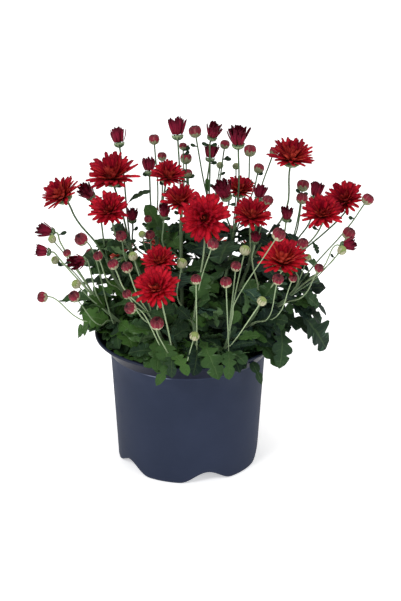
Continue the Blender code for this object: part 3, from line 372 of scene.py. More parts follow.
def grow_stems(root_place, rows):
    """A main stem from the soil to the middle of the spray, and a side stem from it to each head.

    A side stem leaves the main stem a little lower than its foot, so that it rises as it goes outward.
    """
    x, y = (value * MM for value in root_place)
    ground = soil_height(math.hypot(x, y))
    placed = [place_head(Head(*row), (x, y)) for row in rows]
    feet = np.array([head["foot"] for head in placed])
    low = np.array([x, y, ground + MAIN_AIM])
    top = low + (feet.mean(axis=0) - low) * MAIN_TOP_SHARE
    top[2] = max(top[2], ground + MAIN_LEAST_RISE)
    root = np.array([x, y, ground - HOLE_DEPTH + GAP])
    collar = np.array([x, y, ground + MAIN_COLLAR])
    rise = top[2] - collar[2]
    upright = collar + np.array([0, 0, MAIN_PULL[0] * rise])
    leaning = top - MAIN_PULL[1] * (top - collar) * MAIN_LEAN
    main = np.vstack([root, arch_path(collar, upright, leaning, top, MAIN_POINTS)])
    spread = np.linalg.norm(feet[:, :2] - top[:2], axis=1)
    goals = feet[:, 2] - BRANCH_DROP - BRANCH_SLOPE * spread
    fractions = np.interp(goals, main[:, 2], np.linspace(0, 1, len(main)))
    fractions = fractions.clip(LOWEST_BRANCH, HIGHEST_BRANCH)
    order = np.argsort(-fractions, kind="stable")
    highest = HIGHEST_BRANCH - BRANCH_STEP * np.arange(len(order))
    fractions[order] = np.minimum(fractions[order], highest).clip(LOWEST_BRANCH)
    lowest = LOWEST_BRANCH + BRANCH_STEP * BRANCH_CROWDING * np.arange(len(order))[::-1]
    fractions[order] = np.maximum(fractions[order], lowest)
    peduncles = []
    for head, fraction in zip(placed, fractions):
        start, rising = along_path(main, fraction)
        length = np.linalg.norm(head["stem_end"] - head["foot"])
        turn_in = head["stem_end"] - head["way"] * TURN_IN_SHARE * length
        leaving = start + rising * LEAVING_RISE + (head["foot"] - start) * LEAVING_SHARE
        corners = [start, leaving, head["foot"], turn_in, head["stem_end"]]
        peduncles.append(Stem(smooth_path(corners, SIDE_POINTS), PEDUNCLE_RADIUS, PEDUNCLE_RADIUS))
    return Stem(main, MAIN_RADIUS, MAIN_TIP_RADIUS), peduncles, placed


def leaf_points(leaf, across, along):
    """Points on a leaf's blade, which bends down along an arc and turns by its droop from foot to tip."""
    side = np.cross(leaf.along, leaf.normal)
    along, across = np.asarray(along, float), np.asarray(across, float)
    bend = leaf.droop * along
    forward = np.sin(bend) / leaf.droop * leaf.length
    fall = (1 - np.cos(bend)) / leaf.droop * leaf.length
    fold = LEAF_FOLD * np.abs(across) * leaf.width
    points = leaf.base + forward[..., None] * leaf.along - fall[..., None] * leaf.normal
    return points + (across * leaf.width)[..., None] * side + fold[..., None] * leaf.normal


def blade_samples(leaf, step=LEAF_SAMPLE_STEP):
    """Points about a step apart all over a leaf, for the test that it is clear of other stems."""
    rows = max(int(leaf.length / step), 4)
    columns = max(int(leaf.width / step), 3)
    along, across = np.meshgrid(np.linspace(0, 1, rows), np.linspace(-0.5, 0.5, columns))
    across = across * np.where(along < SAMPLED_STALK, SAMPLED_STALK_WIDTH, 1.0)
    return leaf_points(leaf, across.ravel(), along.ravel())


def stem_samples(stem):
    """Spheres along a stem: their middles and radii, as rows of four numbers."""
    count = max(int(np.linalg.norm(np.diff(stem.path, axis=0), axis=1).sum() / STEM_SAMPLE_STEP), 2)
    place = np.linspace(0, len(stem.path) - 1, count)
    known = np.arange(len(stem.path))
    points = np.stack([np.interp(place, known, stem.path[:, k]) for k in range(3)], axis=1)
    return np.column_stack([points, np.full(count, stem.radius + STEM_MARGIN)])


def head_samples(head):
    """Spheres that fill a head: a disc of them for a bloom, one for a bud, and two for a half-open head."""
    middle, way, size = head["middle"], head["way"], head["size"]
    if head["kind"] == "bud" or head["kind"] == "green":
        return np.array([[*middle, 0.55 * size]])
    if head["kind"] == "half":
        low, high = middle - way * 0.25 * size, middle + way * 0.25 * size
        return np.array([[*low, 0.4 * size], [*high, 0.55 * size]])
    side = unit(np.cross(way, [0.3, 0.5, 0.8]))
    up = np.cross(way, side)
    turns = even_circle(12)
    rows = [[*middle, 0.22 * size]]
    for ring in (0.24, 0.42):
        around = np.cos(turns)[:, None] * side + np.sin(turns)[:, None] * up
        points = middle + around * ring * size + way * 0.1 * size
        rows.extend([*point, 0.15 * size] for point in points)
    return np.array(rows)


def is_clear(points, clouds, reach=OTHER_CLEARANCE):
    """Whether every point is farther than reach from every sphere of the clouds."""
    middle = points.mean(axis=0)
    extent = np.linalg.norm(points - middle, axis=1).max()
    for cloud in clouds:
        near = np.linalg.norm(cloud[:, :3] - middle, axis=1) < extent + cloud[:, 3] + reach
        if not near.any():
            continue
        close = cloud[near]
        gaps = np.linalg.norm(points[:, None] - close[None, :, :3], axis=2) - close[None, :, 3]
        if gaps.min() < reach:
            return False
    return True


def outside_pot(points):
    """Whether every point is clear of the soil and of the pot's collar and wall."""
    radius = np.hypot(points[:, 0], points[:, 1])
    soil = soil_height(np.minimum(radius, POT_COLLAR_FOOT_RADIUS))
    over_soil = points[:, 2] > soil + SOIL_CLEARANCE
    collar = POT_COLLAR_FOOT_HEIGHT + (radius - POT_COLLAR_FOOT_RADIUS) * COLLAR_SLOPE
    over_collar = points[:, 2] > collar + POT_CLEARANCE
    beyond = radius > POT_LIP_RADIUS + POT_CLEARANCE
    within = radius < POT_COLLAR_FOOT_RADIUS - POT_CLEARANCE
    return bool(np.all(beyond | (over_soil & (within | over_collar))))


def outward_axes(base, random, turn_spread, rises, roll_spread):
    """A random way away from the pot's axis, about level, and the way that the leaf's upper face looks."""
    outward = math.atan2(base[1], base[0]) + random.normal(0, turn_spread)
    rise = math.radians(random.uniform(*rises))
    level = math.cos(rise)
    along = np.array([math.cos(outward) * level, math.sin(outward) * level, math.sin(rise)])
    side = unit(np.cross(along, [0, 0, 1]))
    normal = np.cross(side, along)
    roll = random.normal(0, roll_spread)
    return along, normal * math.cos(roll) + side * math.sin(roll)


def leaf_to_tip(base, tip, width, half_droop, roll=0.0):
    """A leaf between two points, bent evenly on the way, its upper face turned up and to the viewer."""
    chord = unit(tip - base)
    side = unit(np.cross(chord, LEAF_LEAN))
    upper = np.cross(side, chord)
    upper = upper * math.cos(roll) + side * math.sin(roll)
    along = chord * math.cos(half_droop) + upper * math.sin(half_droop)
    normal = upper * math.cos(half_droop) - chord * math.sin(half_droop)
    length = np.linalg.norm(tip - base) * half_droop / math.sin(half_droop)
    return Leaf(base, along, normal, length, width, 2 * half_droop)


def draw_leaf(stem, random, rank):
    """One leaf at a random place on a main stem. It points away from the pot's axis, more or less level."""
    base, _ = along_path(stem.path, random.uniform(*LEAF_PLACES))
    along, normal = outward_axes(base, random, LEAF_TURN, LEAF_RISE, LEAF_ROLL)
    length = random.uniform(*LEAF_LENGTH) * (1 - THIRD_LEAF_LOSS * (rank == 2))
    width = length * random.uniform(*LEAF_WIDTH)
    return Leaf(base, along, normal, length, width, random.uniform(*LEAF_DROOP))


def draw_placed_leaf(stem, random, place, depth, width):
    """One leaf from a random place on a main stem to a tip that shows at a place in the picture."""
    base, _ = along_path(stem.path, random.uniform(*LEAF_PLACES))
    tip = picture_point(*place, depth * MM + random.uniform(-TIP_SCATTER, TIP_SCATTER))
    roll = random.normal(0, LEAF_ROLL)
    half_droop = 0.5 * random.uniform(*PLACED_DROOP)
    return leaf_to_tip(base, tip, width * MM, half_droop, roll)


def lay_out():
    """Grows every spray, then gives the stems their leaves in turn, each clear of all the other sprays.

    A stem's first leaves are the ones that stand out in the picture.
    """
    random = np.random.default_rng(SEED)
    grown = {name: grow_stems(*planned) for name, planned in SPRAYS.items()}
    clouds = {
        name: np.vstack([
            *(stem_samples(stem) for stem in [main, *peduncles]),
            *(head_samples(head) for head in heads),
        ])
        for name, (main, peduncles, heads) in grown.items()
    }
    leaves = {name: [] for name in grown}
    for rank in range(LEAVES_PER_STEM):
        for name, (main, peduncles, heads) in grown.items():
            others = [cloud for other, cloud in clouds.items() if other != name]
            is_placed = rank < len(PLACED_LEAVES.get(name, []))
            for _ in range(PLACED_TRIES if is_placed else LEAF_TRIES):
                if is_placed:
                    leaf = draw_placed_leaf(main, random, *PLACED_LEAVES[name][rank])
                else:
                    leaf = draw_leaf(main, random, rank)
                points = blade_samples(leaf)
                blade = points[np.linalg.norm(points - leaf.base, axis=1) > STALK_REACH]
                if leaf.length > LONGEST_LEAF or not outside_pot(points) or not is_clear(points, others):
                    continue
                if is_clear(blade, [clouds[name]], PLACED_CLEARANCE if is_placed else OWN_CLEARANCE):
                    leaves[name].append(leaf)
                    sampled = np.column_stack([points, np.full(len(points), LEAF_REACH)])
                    clouds[name] = np.vstack([clouds[name], sampled])
                    break
    return [Spray(name, *plant, leaves[name]) for name, plant in grown.items()]


# Fill: the leaves that the solids are too few to hold

FILL_SEED = 11
FILL_PER_STEM = 60
FILL_TRIES = 120
FILL_LENGTH = (19.0 * MM, 44.0 * MM)
FILL_WIDTH = (0.5, 0.76)  # in leaf lengths
FILL_DROOP = (0.3, 1.3)
FILL_TURN = 1.3  # the spread of its direction about straight outwards, in radians
FILL_RISE = (-25, 42)  # above level, in degrees
FILL_ROLL = 0.6
MAIN_SHARE = 0.6  # of the fill leaves are on the main stem, the others on side stems
LOW_SHARE = 0.25  # of them all are on its low part
LOW_PLACES = (0.12, 0.4)  # along the main stem
HIGH_PLACES = (0.3, 1.0)
SIDE_PLACES = (0.02, 0.55)  # along a side stem
SIDE_LENGTH_SHARE = 0.8  # of that length, for a side stem's leaves
FOOT_LEAF_LENGTH = (16.0 * MM, 34.0 * MM)
FOOT_LEAF_WIDTH = (0.5, 0.8)  # in leaf lengths
FOOT_LEAF_DROOP = (0.3, 0.9)
FOOT_LEAF_PLACES = (0.1, 0.34)  # along the side stem, of its stalk
BEND_PLACES = (0.34, 0.5)  # and of the bend that its tip is near
TIP_REACH = (4, 12)  # mm, from the bend to the viewer
TIP_WANDER = 4  # mm
TIP_SLACK = (1.1, 1.5)  # its length, as a share of the straight way
FOOT_LEAF_TRIES = 90
HIDING_MARGIN = 1.2  # pixels round a head or stem that a nearer leaf keeps free
HIDING_DEPTH = 1.0 * MM  # how much nearer it has to be
BARE_POINTS = 40  # along a stem that is partly bare
BARE_RADIUS = 1.5  # pixels, of the disc at each of them
BARE_SIDE_START = 0.3  # a side stem is bare from this share of its way, and a main stem
BARE_MAIN_START = 0.55  # from this share of its own
AIRY_HEIGHT = 222.0 * MM  # above this, the foliage thins out
AIRY_SPAN = 45.0 * MM  # and this far above it, no leaf is left
STALK_POINTS = 60  # along each stem, where a shown leaf's stalk may start
SHOWN_HALF_DROOP = 0.4
FILL_SAMPLE_STEP = 6.0 * MM
HEAD_CLEARANCE = 1.5 * MM

# Leaves that the picture shows one by one: the stalk's and the tip's places (across, down), how far the
# tip is nearer to the viewer than the stem in mm, the width in mm, and half the bend of the ones that hang
# over the lip
SHOWN_LEAVES = {
    "left_rear": [((129, 203), (151, 191), 0, 9)],
    "rear_left": [((163, 236), (150, 222), 6, 16)],
    "middle_right": [((207, 194), (207, 178), 2, 6)],
    "right_rear": [((266, 232), (281, 225), 2, 9)],
    "right": [((284, 232), (299, 247), 2, 12), ((309, 238), (318, 254), 4, 7)],
    "right_low": [((290, 316), (318, 306), 6, 18), ((282, 332), (312, 334), 8, 22)],
    "front_right": [((252, 352), (262, 385), 34, 11, 0.9), ((262, 318), (288, 322), 10, 20),
                    ((250, 338), (281, 368), 20, 24)],
    "front_middle_right": [((234, 350), (257, 343), 8, 14), ((232, 352), (246, 364), 22, 16),
                           ((238, 352), (229, 380), 40, 15, 0.9)],
    "front_middle": [((200, 352), (214, 366), 24, 18), ((196, 356), (182, 368), 26, 16),
                     ((187, 364), (156, 386), 46, 14, 0.8)],
    "front_left": [((168, 350), (144, 367), 14, 20), ((168, 350), (134, 360), 6, 22),
                   ((164, 352), (128, 354), 0, 20), ((170, 354), (157, 373), 24, 16),
                   ((174, 358), (163, 366), 24, 14), ((176, 358), (172, 378), 38, 13, 0.8),
                   ((176, 358), (188, 376), 38, 14, 0.8)],
    "left": [((132, 330), (152, 322), 6, 12), ((120, 318), (100, 326), 6, 20),
             ((128, 308), (106, 282), 4, 20), ((116, 276), (94, 262), 4, 18)],
    "left_low": [((112, 322), (88, 330), 6, 18), ((106, 312), (90, 296), 4, 18),
                 ((124, 330), (102, 339), 2, 18), ((128, 338), (107, 350), 14, 18),
                 ((130, 342), (118, 358), 26, 20), ((134, 342), (130, 362), 30, 18)],
}

# The outline of the foliage in the picture, as (across, down) places
FOLIAGE_OUTLINE = [
    (97, 338), (79, 326), (74, 306), (84, 286), (90, 264), (92, 244), (104, 228), (126, 212), (150, 201),
    (160, 217), (171, 209), (184, 224), (198, 213), (212, 227), (226, 215), (240, 230), (256, 218),
    (268, 231), (281, 220), (293, 234), (303, 250), (310, 268), (322, 282), (328, 300), (328, 350),
    (300, 353), (284, 362), (281, 372), (240, 382), (224, 388), (198, 386), (166, 386), (158, 377),
    (142, 371), (122, 361), (104, 351),
]


def picture_place(points):
    """Where points show in the picture: (across, down) for each, the reverse of picture_point."""
    offset = points - np.array(VIEW_PLACE)
    cos, sin = math.cos(VIEW_TILT), math.sin(VIEW_TILT)
    ahead = offset[..., 1] * cos - offset[..., 2] * sin
    rise = offset[..., 1] * sin + offset[..., 2] * cos
    across = PICTURE_MIDDLE[0] + PICTURE_FOCAL * offset[..., 0] / ahead
    down = PICTURE_MIDDLE[1] - PICTURE_FOCAL * rise / ahead
    return np.stack([across, down], axis=-1)


def inside(places, outline):
    """Whether each place is inside a closed outline: an odd number of edges cross the line to its right."""
    start = np.asarray(outline, float)
    end = np.roll(start, -1, axis=0)
    across, down = places[..., None, 0], places[..., None, 1]
    spans = (start[:, 1] > down) != (end[:, 1] > down)
    fall = np.where(end[:, 1] == start[:, 1], 1.0, end[:, 1] - start[:, 1])
    crossing = start[:, 0] + (down - start[:, 1]) * (end[:, 0] - start[:, 0]) / fall
    return (spans & (across < crossing)).sum(axis=-1) % 2 == 1


def shown_discs(sprays):
    """What no leaf may hide: heads and bare stems, as rows of across, down, radius and depth."""
    rows = []

    def add_bare(path, start):
        """Adds a disc at each point of a stem's bare part."""
        bare = smooth_path(path, BARE_POINTS)[round(start * BARE_POINTS):]
        rows.extend((*place, BARE_RADIUS, point[1]) for place, point in zip(picture_place(bare), bare))

    for spray in sprays:
        for stem, head in zip(spray.peduncles, spray.heads):
            if head["hidden"]:
                continue
            across, down = picture_place(head["middle"])
            rows.append((across, down, 0.5 * head["size"] / MM, head["middle"][1]))
            add_bare(stem.path, BARE_SIDE_START)
        if not spray.heads[0]["hidden"]:
            add_bare(spray.main.path, BARE_MAIN_START)
    return np.array(rows)


def hides(points, discs):
    """Whether any of the points shows inside a disc and stands nearer to the viewer than it."""
    places = picture_place(points)
    apart = np.linalg.norm(places[:, None] - discs[None, :, :2], axis=2)
    nearer = points[:, None, 1] < discs[None, :, 3] - HIDING_DEPTH
    return bool(((apart < discs[:, 2] + HIDING_MARGIN) & nearer).any())


def draw_fill_leaf(spray, random):
    """One more leaf: low on the main stem, higher on it, or on the leafy part of a side stem."""
    lot = random.random()
    if lot < MAIN_SHARE:
        places = LOW_PLACES if lot < LOW_SHARE else HIGH_PLACES
        base, _ = along_path(spray.main.path, random.uniform(*places))
        length = random.uniform(*FILL_LENGTH)
    else:
        stem = spray.peduncles[random.integers(len(spray.peduncles))]
        base, _ = along_path(stem.path, random.uniform(*SIDE_PLACES))
        length = random.uniform(*FILL_LENGTH) * SIDE_LENGTH_SHARE
    along, normal = outward_axes(base, random, FILL_TURN, FILL_RISE, FILL_ROLL)
    width = length * random.uniform(*FILL_WIDTH)
    return Leaf(base, along, normal, length, width, random.uniform(*FILL_DROOP))


def shown_leaf(spray, asked):
    """A leaf to its tip's place, from the point of the spray's stems that shows nearest to its stalk's."""
    stalk, tip_place, nearer, width, half_droop = (*asked, SHOWN_HALF_DROOP)[:5]
    points = np.vstack([smooth_path(stem.path, STALK_POINTS) for stem in [spray.main, *spray.peduncles]])
    points = points[points[:, 2] > soil_height(0) + POT_CLEARANCE]
    base = points[np.linalg.norm(picture_place(points) - stalk, axis=1).argmin()]
    tip = picture_point(*tip_place, base[1] - nearer * MM)
    return leaf_to_tip(base, tip, width * MM, half_droop)


def foot_leaf(stem, random):
    """A small leaf where a side stem leaves the foliage: from below its bend to before it, facing out."""
    base, _ = along_path(stem.path, random.uniform(*FOOT_LEAF_PLACES))
    bend, _ = along_path(stem.path, random.uniform(*BEND_PLACES))
    outward = unit(np.array(VIEW_PLACE) - bend)
    tip = bend + outward * random.uniform(*TIP_REACH) * MM + random.normal(0, TIP_WANDER, 3) * MM
    along = unit(tip - base)
    side = unit(np.cross(along, outward))
    normal = np.cross(side, along)
    length = np.clip(np.linalg.norm(tip - base) * random.uniform(*TIP_SLACK), *FOOT_LEAF_LENGTH)
    width = length * random.uniform(*FOOT_LEAF_WIDTH)
    return Leaf(base, along, normal, length, width, random.uniform(*FOOT_LEAF_DROOP))


def fill_leaves(sprays):
    """More leaves for every spray: inside the foliage's outline, clear of the heads, and hiding none.

    The higher a leaf is above the airy height, the less likely it stays.
    """
    random = np.random.default_rng(FILL_SEED)
    heads = [head_samples(head) for spray in sprays for head in spray.heads]
    discs = shown_discs(sprays)
    more = []
    for spray in sprays:
        leaves = [shown_leaf(spray, asked) for asked in SHOWN_LEAVES.get(spray.name, [])]
        stems = [stem for stem, head in zip(spray.peduncles, spray.heads) if not head["hidden"]]
        wanted = [(foot_leaf, stem, FOOT_LEAF_TRIES) for stem in stems]
        wanted += [(draw_fill_leaf, spray, FILL_TRIES)] * FILL_PER_STEM
        for draw, source, tries in wanted:
            for _ in range(tries):
                leaf = draw(source, random)
                points = blade_samples(leaf, FILL_SAMPLE_STEP)
                if not outside_pot(points) or not inside(picture_place(points), FOLIAGE_OUTLINE).all():
                    continue
                if hides(points, discs) or not is_clear(points, heads, HEAD_CLEARANCE):
                    continue
                if random.random() > (points[:, 2].mean() - AIRY_HEIGHT) / AIRY_SPAN:
                    leaves.append(leaf)
                break
        more.append(leaves)
    return more


# Surfaces

# The finishes of a piece, by number: every blade's face and underside, and one or two more
FACE, UNDERSIDE = 0, 1
STEM_GREEN, BRACT_CREAM = 2, 3  # in the foliage
EYE = 2  # in a head
MERGE_DISTANCE = 0.0005 * MM


class Skin:
    """Grids of points gathered into one mesh.

    Each point keeps three numbers for its finish: along and across its grid, and its piece's tone.
    """

    def __init__(self):
        """An empty skin."""
        self.points = []
        self.places = []
        self.faces = []
        self.finishes = []
        self.count = 0

    def add(self, points, along, across, tone, finish=FACE):
        """Adds grids of (grids, rows, columns, 3) points. The last column joins the first."""
        points = np.asarray(points, float)
        points = points.reshape(-1, *points.shape[-3:])
        grids, rows, columns = points.shape[:3]
        index = self.count + np.arange(grids * rows * columns).reshape(grids, rows, columns)
        after = np.roll(index, -1, axis=2)
        faces = np.stack([index[:, :-1], index[:, 1:], after[:, 1:], after[:, :-1]], axis=-1)
        place = np.empty(points.shape)
        place[..., 0] = along
        place[..., 1] = across
        place[..., 2] = tone
        self.points.append(points.reshape(-1, 3))
        self.places.append(place.reshape(-1, 3))
        self.faces.append(faces.reshape(-1, 4))
        self.finishes.append(np.broadcast_to(finish, faces.shape[:3]).ravel())
        self.count += grids * rows * columns

    def build(self, name, nodes, materials, sharp=math.radians(60)):
        """Makes the mesh. Points that coincide become one, which closes the poles."""
        mesh = bpy.data.meshes.new(name)
        mesh.from_pydata(np.concatenate(self.points), [], np.concatenate(self.faces).tolist())
        mesh.polygons.foreach_set("material_index", np.concatenate(self.finishes).astype(np.int32))
        layer = mesh.attributes.new("place", "FLOAT_VECTOR", "POINT")
        layer.data.foreach_set("vector", np.concatenate(self.places).ravel())
        shape = bmesh.new()
        shape.from_mesh(mesh)
        bmesh.ops.remove_doubles(shape, verts=shape.verts, dist=MERGE_DISTANCE)
        shape.to_mesh(mesh)
        shape.free()
        mesh.shade_smooth()
        mesh.set_sharp_from_angle(angle=sharp)
        for material in materials:
            mesh.materials.append(material)
        thing = bpy.data.objects.new(name, mesh)
        bpy.context.scene.collection.objects.link(thing)
        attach(thing, "root")
        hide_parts(*nodes)
        return thing


def head_axes(way):
    """Two directions square to the way a head faces, and to each other."""
    side = unit(np.cross(way, [0.31, 0.47, 0.82]))
    return side, np.cross(way, side)


def blade(sheets, thickness, rows):
    """Thin sheets closed into blades: over the upper face, then back along the lower one.

    The thickness falls to nothing at the edges as one less the square of the place across.
    """
    run = np.gradient(sheets, axis=-3)
    over = np.gradient(sheets, axis=-2)
    normal = np.cross(run, over)
    normal /= np.maximum(np.linalg.norm(normal, axis=-1, keepdims=True), 1e-15)
    place = np.linspace(-1, 1, sheets.shape[-2])
    half = 0.5 * thickness * (1 - place**2) * rows[:, None]
    upper = sheets + normal * half[..., None]
    lower = sheets - normal * half[..., None]
    return np.concatenate([upper, lower[..., -2:0:-1, :]], axis=-2)


def blade_places(across):
    """The places across a blade, there and back, from 0 to 1, and the finish of each strip between them."""
    there_and_back = np.concatenate([across, across[-2:0:-1]])
    finish = np.where(np.arange(len(there_and_back)) < len(across) - 1, FACE, UNDERSIDE)
    return 0.5 + 0.5 * there_and_back, finish


def stem_tube(skin, path, radius, tone, rib):
    """A ribbed tube: circles square to a path, whose radius swells by rib at every second point."""
    path = np.asarray(path, float)
    run = np.gradient(path, axis=0)
    run /= np.linalg.norm(run, axis=1, keepdims=True)
    spine = path[-1] - path[0]
    level = unit(np.cross(spine, [1.0, 0.23, 0.11]))
    side = np.cross(run, level)
    side /= np.linalg.norm(side, axis=1, keepdims=True)
    up = np.cross(run, side)
    turn = even_circle(STEM_SIDES)
    ridge = np.cos(turn * STEM_SIDES / 2)
    swell = 1 + rib * ridge
    ring = side[:, None] * np.cos(turn)[:, None] - up[:, None] * np.sin(turn)[:, None]
    radius = np.broadcast_to(radius, len(path))
    points = path[:, None] + ring * (radius[:, None] * swell)[..., None]
    ends = np.broadcast_to(path[[0, -1]][:, None], (2, STEM_SIDES, 3))
    points = np.concatenate([ends[:1], points, ends[1:]])
    along = np.concatenate([[0], np.linspace(0, 1, len(path)), [1]])[:, None]
    skin.add(points, along, (ridge + 1) / 2, tone, STEM_GREEN)


PETAL_ROWS = np.array([0, 0.06, 0.26, 0.5, 0.76, 0.94, 1.0])
PETAL_WIDTHS = np.array([0, 0.42, 0.68, 0.94, 1.0, 0.72, 0.0])
POINTED_WIDTHS = np.array([0, 0.7, 0.95, 1.0, 0.8, 0.4, 0.0])
STALKED_WIDTHS = np.array([0, 0.22, 0.4, 0.95, 1.0, 0.6, 0.0])
PETAL_COLUMNS = np.linspace(-1, 1, 5)
PETAL_THICKNESS = 0.5 * MM
LEAST_CURL = 0.01  # radians, which keeps the bend's formula from dividing by nothing
PETAL_SCATTER = 0.25  # of the spacing round a head


def petals(skin, base, way, turns, reach, height, length, lean, curl, width, cup, tone,
           thickness=PETAL_THICKNESS, widths=PETAL_WIDTHS, finish=(FACE, UNDERSIDE), sway=0.0):
    """A ring of petals round a head's axis. Sizes in metres, angles in radians, one for each petal or all.

    A petal starts at a reach from the axis and a height along it, and leaves at the lean above level. It
    turns evenly by the curl on the way to its tip, where t is 1: its run is the length times
    (sin(lean + curl t) - sin lean) / curl, and its rise is the length times
    (cos lean - cos(lean + curl t)) / curl. Its edges rise by cup times the square of the place across, so
    it is a trough, and it bends to a side by sway times the length and the square of t.
    """
    reach, height, length, lean, curl, width, cup, tone, turn, sway = [
        np.broadcast_to(value, np.shape(turns))[:, None, None]
        for value in (reach, height, length, lean, curl, width, cup, tone, turns, sway)
    ]
    curl = np.where(np.abs(curl) < LEAST_CURL, LEAST_CURL, curl)
    t = PETAL_ROWS[:, None]
    u = PETAL_COLUMNS
    angle = lean + curl * t
    run = length * (np.sin(angle) - np.sin(lean)) / curl
    rise = length * (np.cos(lean) - np.cos(angle)) / curl
    half = 0.5 * width * widths[:, None]
    trough = cup * half * u**2
    out = reach + run - np.sin(angle) * trough
    up = height + rise + np.cos(angle) * trough
    side, forward = head_axes(way)
    radial = np.cos(turn)[..., None] * side + np.sin(turn)[..., None] * forward
    around = np.cos(turn)[..., None] * forward - np.sin(turn)[..., None] * side
    aside = u * half + sway * length * t**2
    sheets = base + out[..., None] * radial + up[..., None] * way + aside[..., None] * around
    across, sides = blade_places(PETAL_COLUMNS)
    rows = np.where(widths > 0, 1.0, 0.0)
    skin.add(blade(sheets, thickness, rows), t, across, tone, np.asarray(finish)[sides])


def even_turns(count, random, start=0.0):
    """Turns spaced evenly round a head, each off by a random part of the spacing."""
    step = math.tau / count
    return start + step * (np.arange(count) + random.uniform(-PETAL_SCATTER, PETAL_SCATTER, count))


def round_shape(skin, base, way, radius, height, ribs, tone, rib, finish=FACE):
    """A surface turned round an axis: radii and heights from the lower pole to the upper, with low ribs."""
    side, forward = head_axes(way)
    turn = even_circle(2 * ribs)
    ring = side * np.cos(turn)[:, None] - forward * np.sin(turn)[:, None]
    ridge = np.cos(turn * ribs)
    level = base + ring * (radius[:, None] * (1 + rib * ridge))[..., None]
    points = level + height[:, None, None] * way
    skin.add(points, np.linspace(0, 1, len(radius))[:, None], 0.5 + 0.5 * ridge, tone, finish)


def ribbed_ball(skin, middle, way, radius, height, rows, ribs, tone, rib, finish=FACE):
    """A ball stretched along an axis, by its radius and half its height, with low ribs."""
    polar = np.linspace(0, math.pi, rows)
    round_shape(skin, middle, way, radius * np.sin(polar), -height * np.cos(polar), ribs, tone, rib, finish)


# Pot

POT_SIDES = 180
POT_ROW_STEP = 5.0 * MM
DRAIN_SIDES = 24


def arch_rise(angle):
    """How far the foot's edge rises at an angle: a squared cosine over each arch's width, else nothing."""
    phase = (angle - ARCH_FIRST + ARCH_PITCH / 2) % ARCH_PITCH - ARCH_PITCH / 2
    inside_arch = np.abs(phase) < ARCH_WIDTH / 2
    return np.where(inside_arch, ARCH_RISE * np.cos(math.pi * phase / ARCH_WIDTH) ** 2, 0.0)


def rounded(corners, radii, steps=5):
    """A profile with rounded corners: each gives way to a quadratic Bezier between points a radius away."""
    corners = np.asarray(corners, float)
    rows = [corners[:1]]
    t = np.linspace(0, 1, steps)[:, None]
    for before, corner, after, radius in zip(corners, corners[1:], corners[2:], radii):
        start = corner + unit(before - corner) * min(radius, 0.45 * np.linalg.norm(before - corner))
        end = corner + unit(after - corner) * min(radius, 0.45 * np.linalg.norm(after - corner))
        rows.append((1 - t) ** 2 * start + 2 * t * (1 - t) * corner + t**2 * end)
    rows.append(corners[-1:])
    return np.vstack(rows)


def wall_rows(profile, spacing):
    """More points along a profile, no farther apart than the spacing."""
    rows = [profile[:1]]
    for start, end in zip(profile, profile[1:]):
        count = max(int(np.linalg.norm(end - start) / spacing), 1)
        t = np.linspace(0, 1, count + 1)[1:, None]
        rows.append(start + (end - start) * t)
    return np.vstack(rows)


def turned(profile, turn, share):
    """A profile of radii and heights turned round the pot's axis, and raised by a share of the arches."""
    radius = profile[:, :1]
    height = profile[:, 1:] + share[:, None] * arch_rise(turn)
    return np.stack([radius * np.cos(turn), radius * np.sin(turn), height], axis=-1)


def make_pot(material):
    """The pot: a profile turned round the axis, under the floor, up the wall, over the lip and down inside.

    The foot rises into its arches by a share that is whole at the foot and falls evenly to 0 at the collar.
    """
    foot, collar, lip = POT_FOOT_RADIUS, POT_COLLAR_FOOT_RADIUS, POT_LIP_RADIUS
    outer = rounded([
        (0, 0), (CHANNEL_START, 0), (foot, 0), (collar - 0.3 * MM, POT_COLLAR_FOOT_HEIGHT - 1.2 * MM),
        (collar + 0.5 * MM, POT_COLLAR_FOOT_HEIGHT - 0.4 * MM), (lip - 3.4 * MM, POT_HEIGHT - 4.2 * MM),
        (lip - 0.2 * MM, POT_HEIGHT - 2.8 * MM), (lip, POT_HEIGHT - 0.2 * MM), (lip - 2.4 * MM, POT_HEIGHT),
        (lip - 4.6 * MM, POT_HEIGHT - 3.4 * MM), (collar - POT_WALL, POT_COLLAR_FOOT_HEIGHT),
        (foot - POT_WALL, POT_WALL), (0, POT_WALL),
    ], [
        2 * MM, POT_CORNER, 0.5 * MM, 0.5 * MM, 1.2 * MM, 1.0 * MM, 0.9 * MM, 0.9 * MM, 1.0 * MM, 1.0 * MM,
        POT_CORNER,
    ])
    profile = wall_rows(outer, POT_ROW_STEP)
    radius, height = profile[:, 0], profile[:, 1]
    share = np.clip((radius - CHANNEL_START) / (foot - POT_CORNER - CHANNEL_START), 0, 1)
    share = np.where(height > POT_CORNER + POT_WALL, 1 - height / POT_COLLAR_FOOT_HEIGHT, share)
    turn = ARCH_FIRST - even_circle(POT_SIDES)
    skin = Skin()
    skin.add(turned(profile, turn, share.clip(0, 1)), 0, 0, 0)
    pot = skin.build("pot", ["nursery_pot"], [material], sharp=math.radians(40))
    drill_drains(pot)


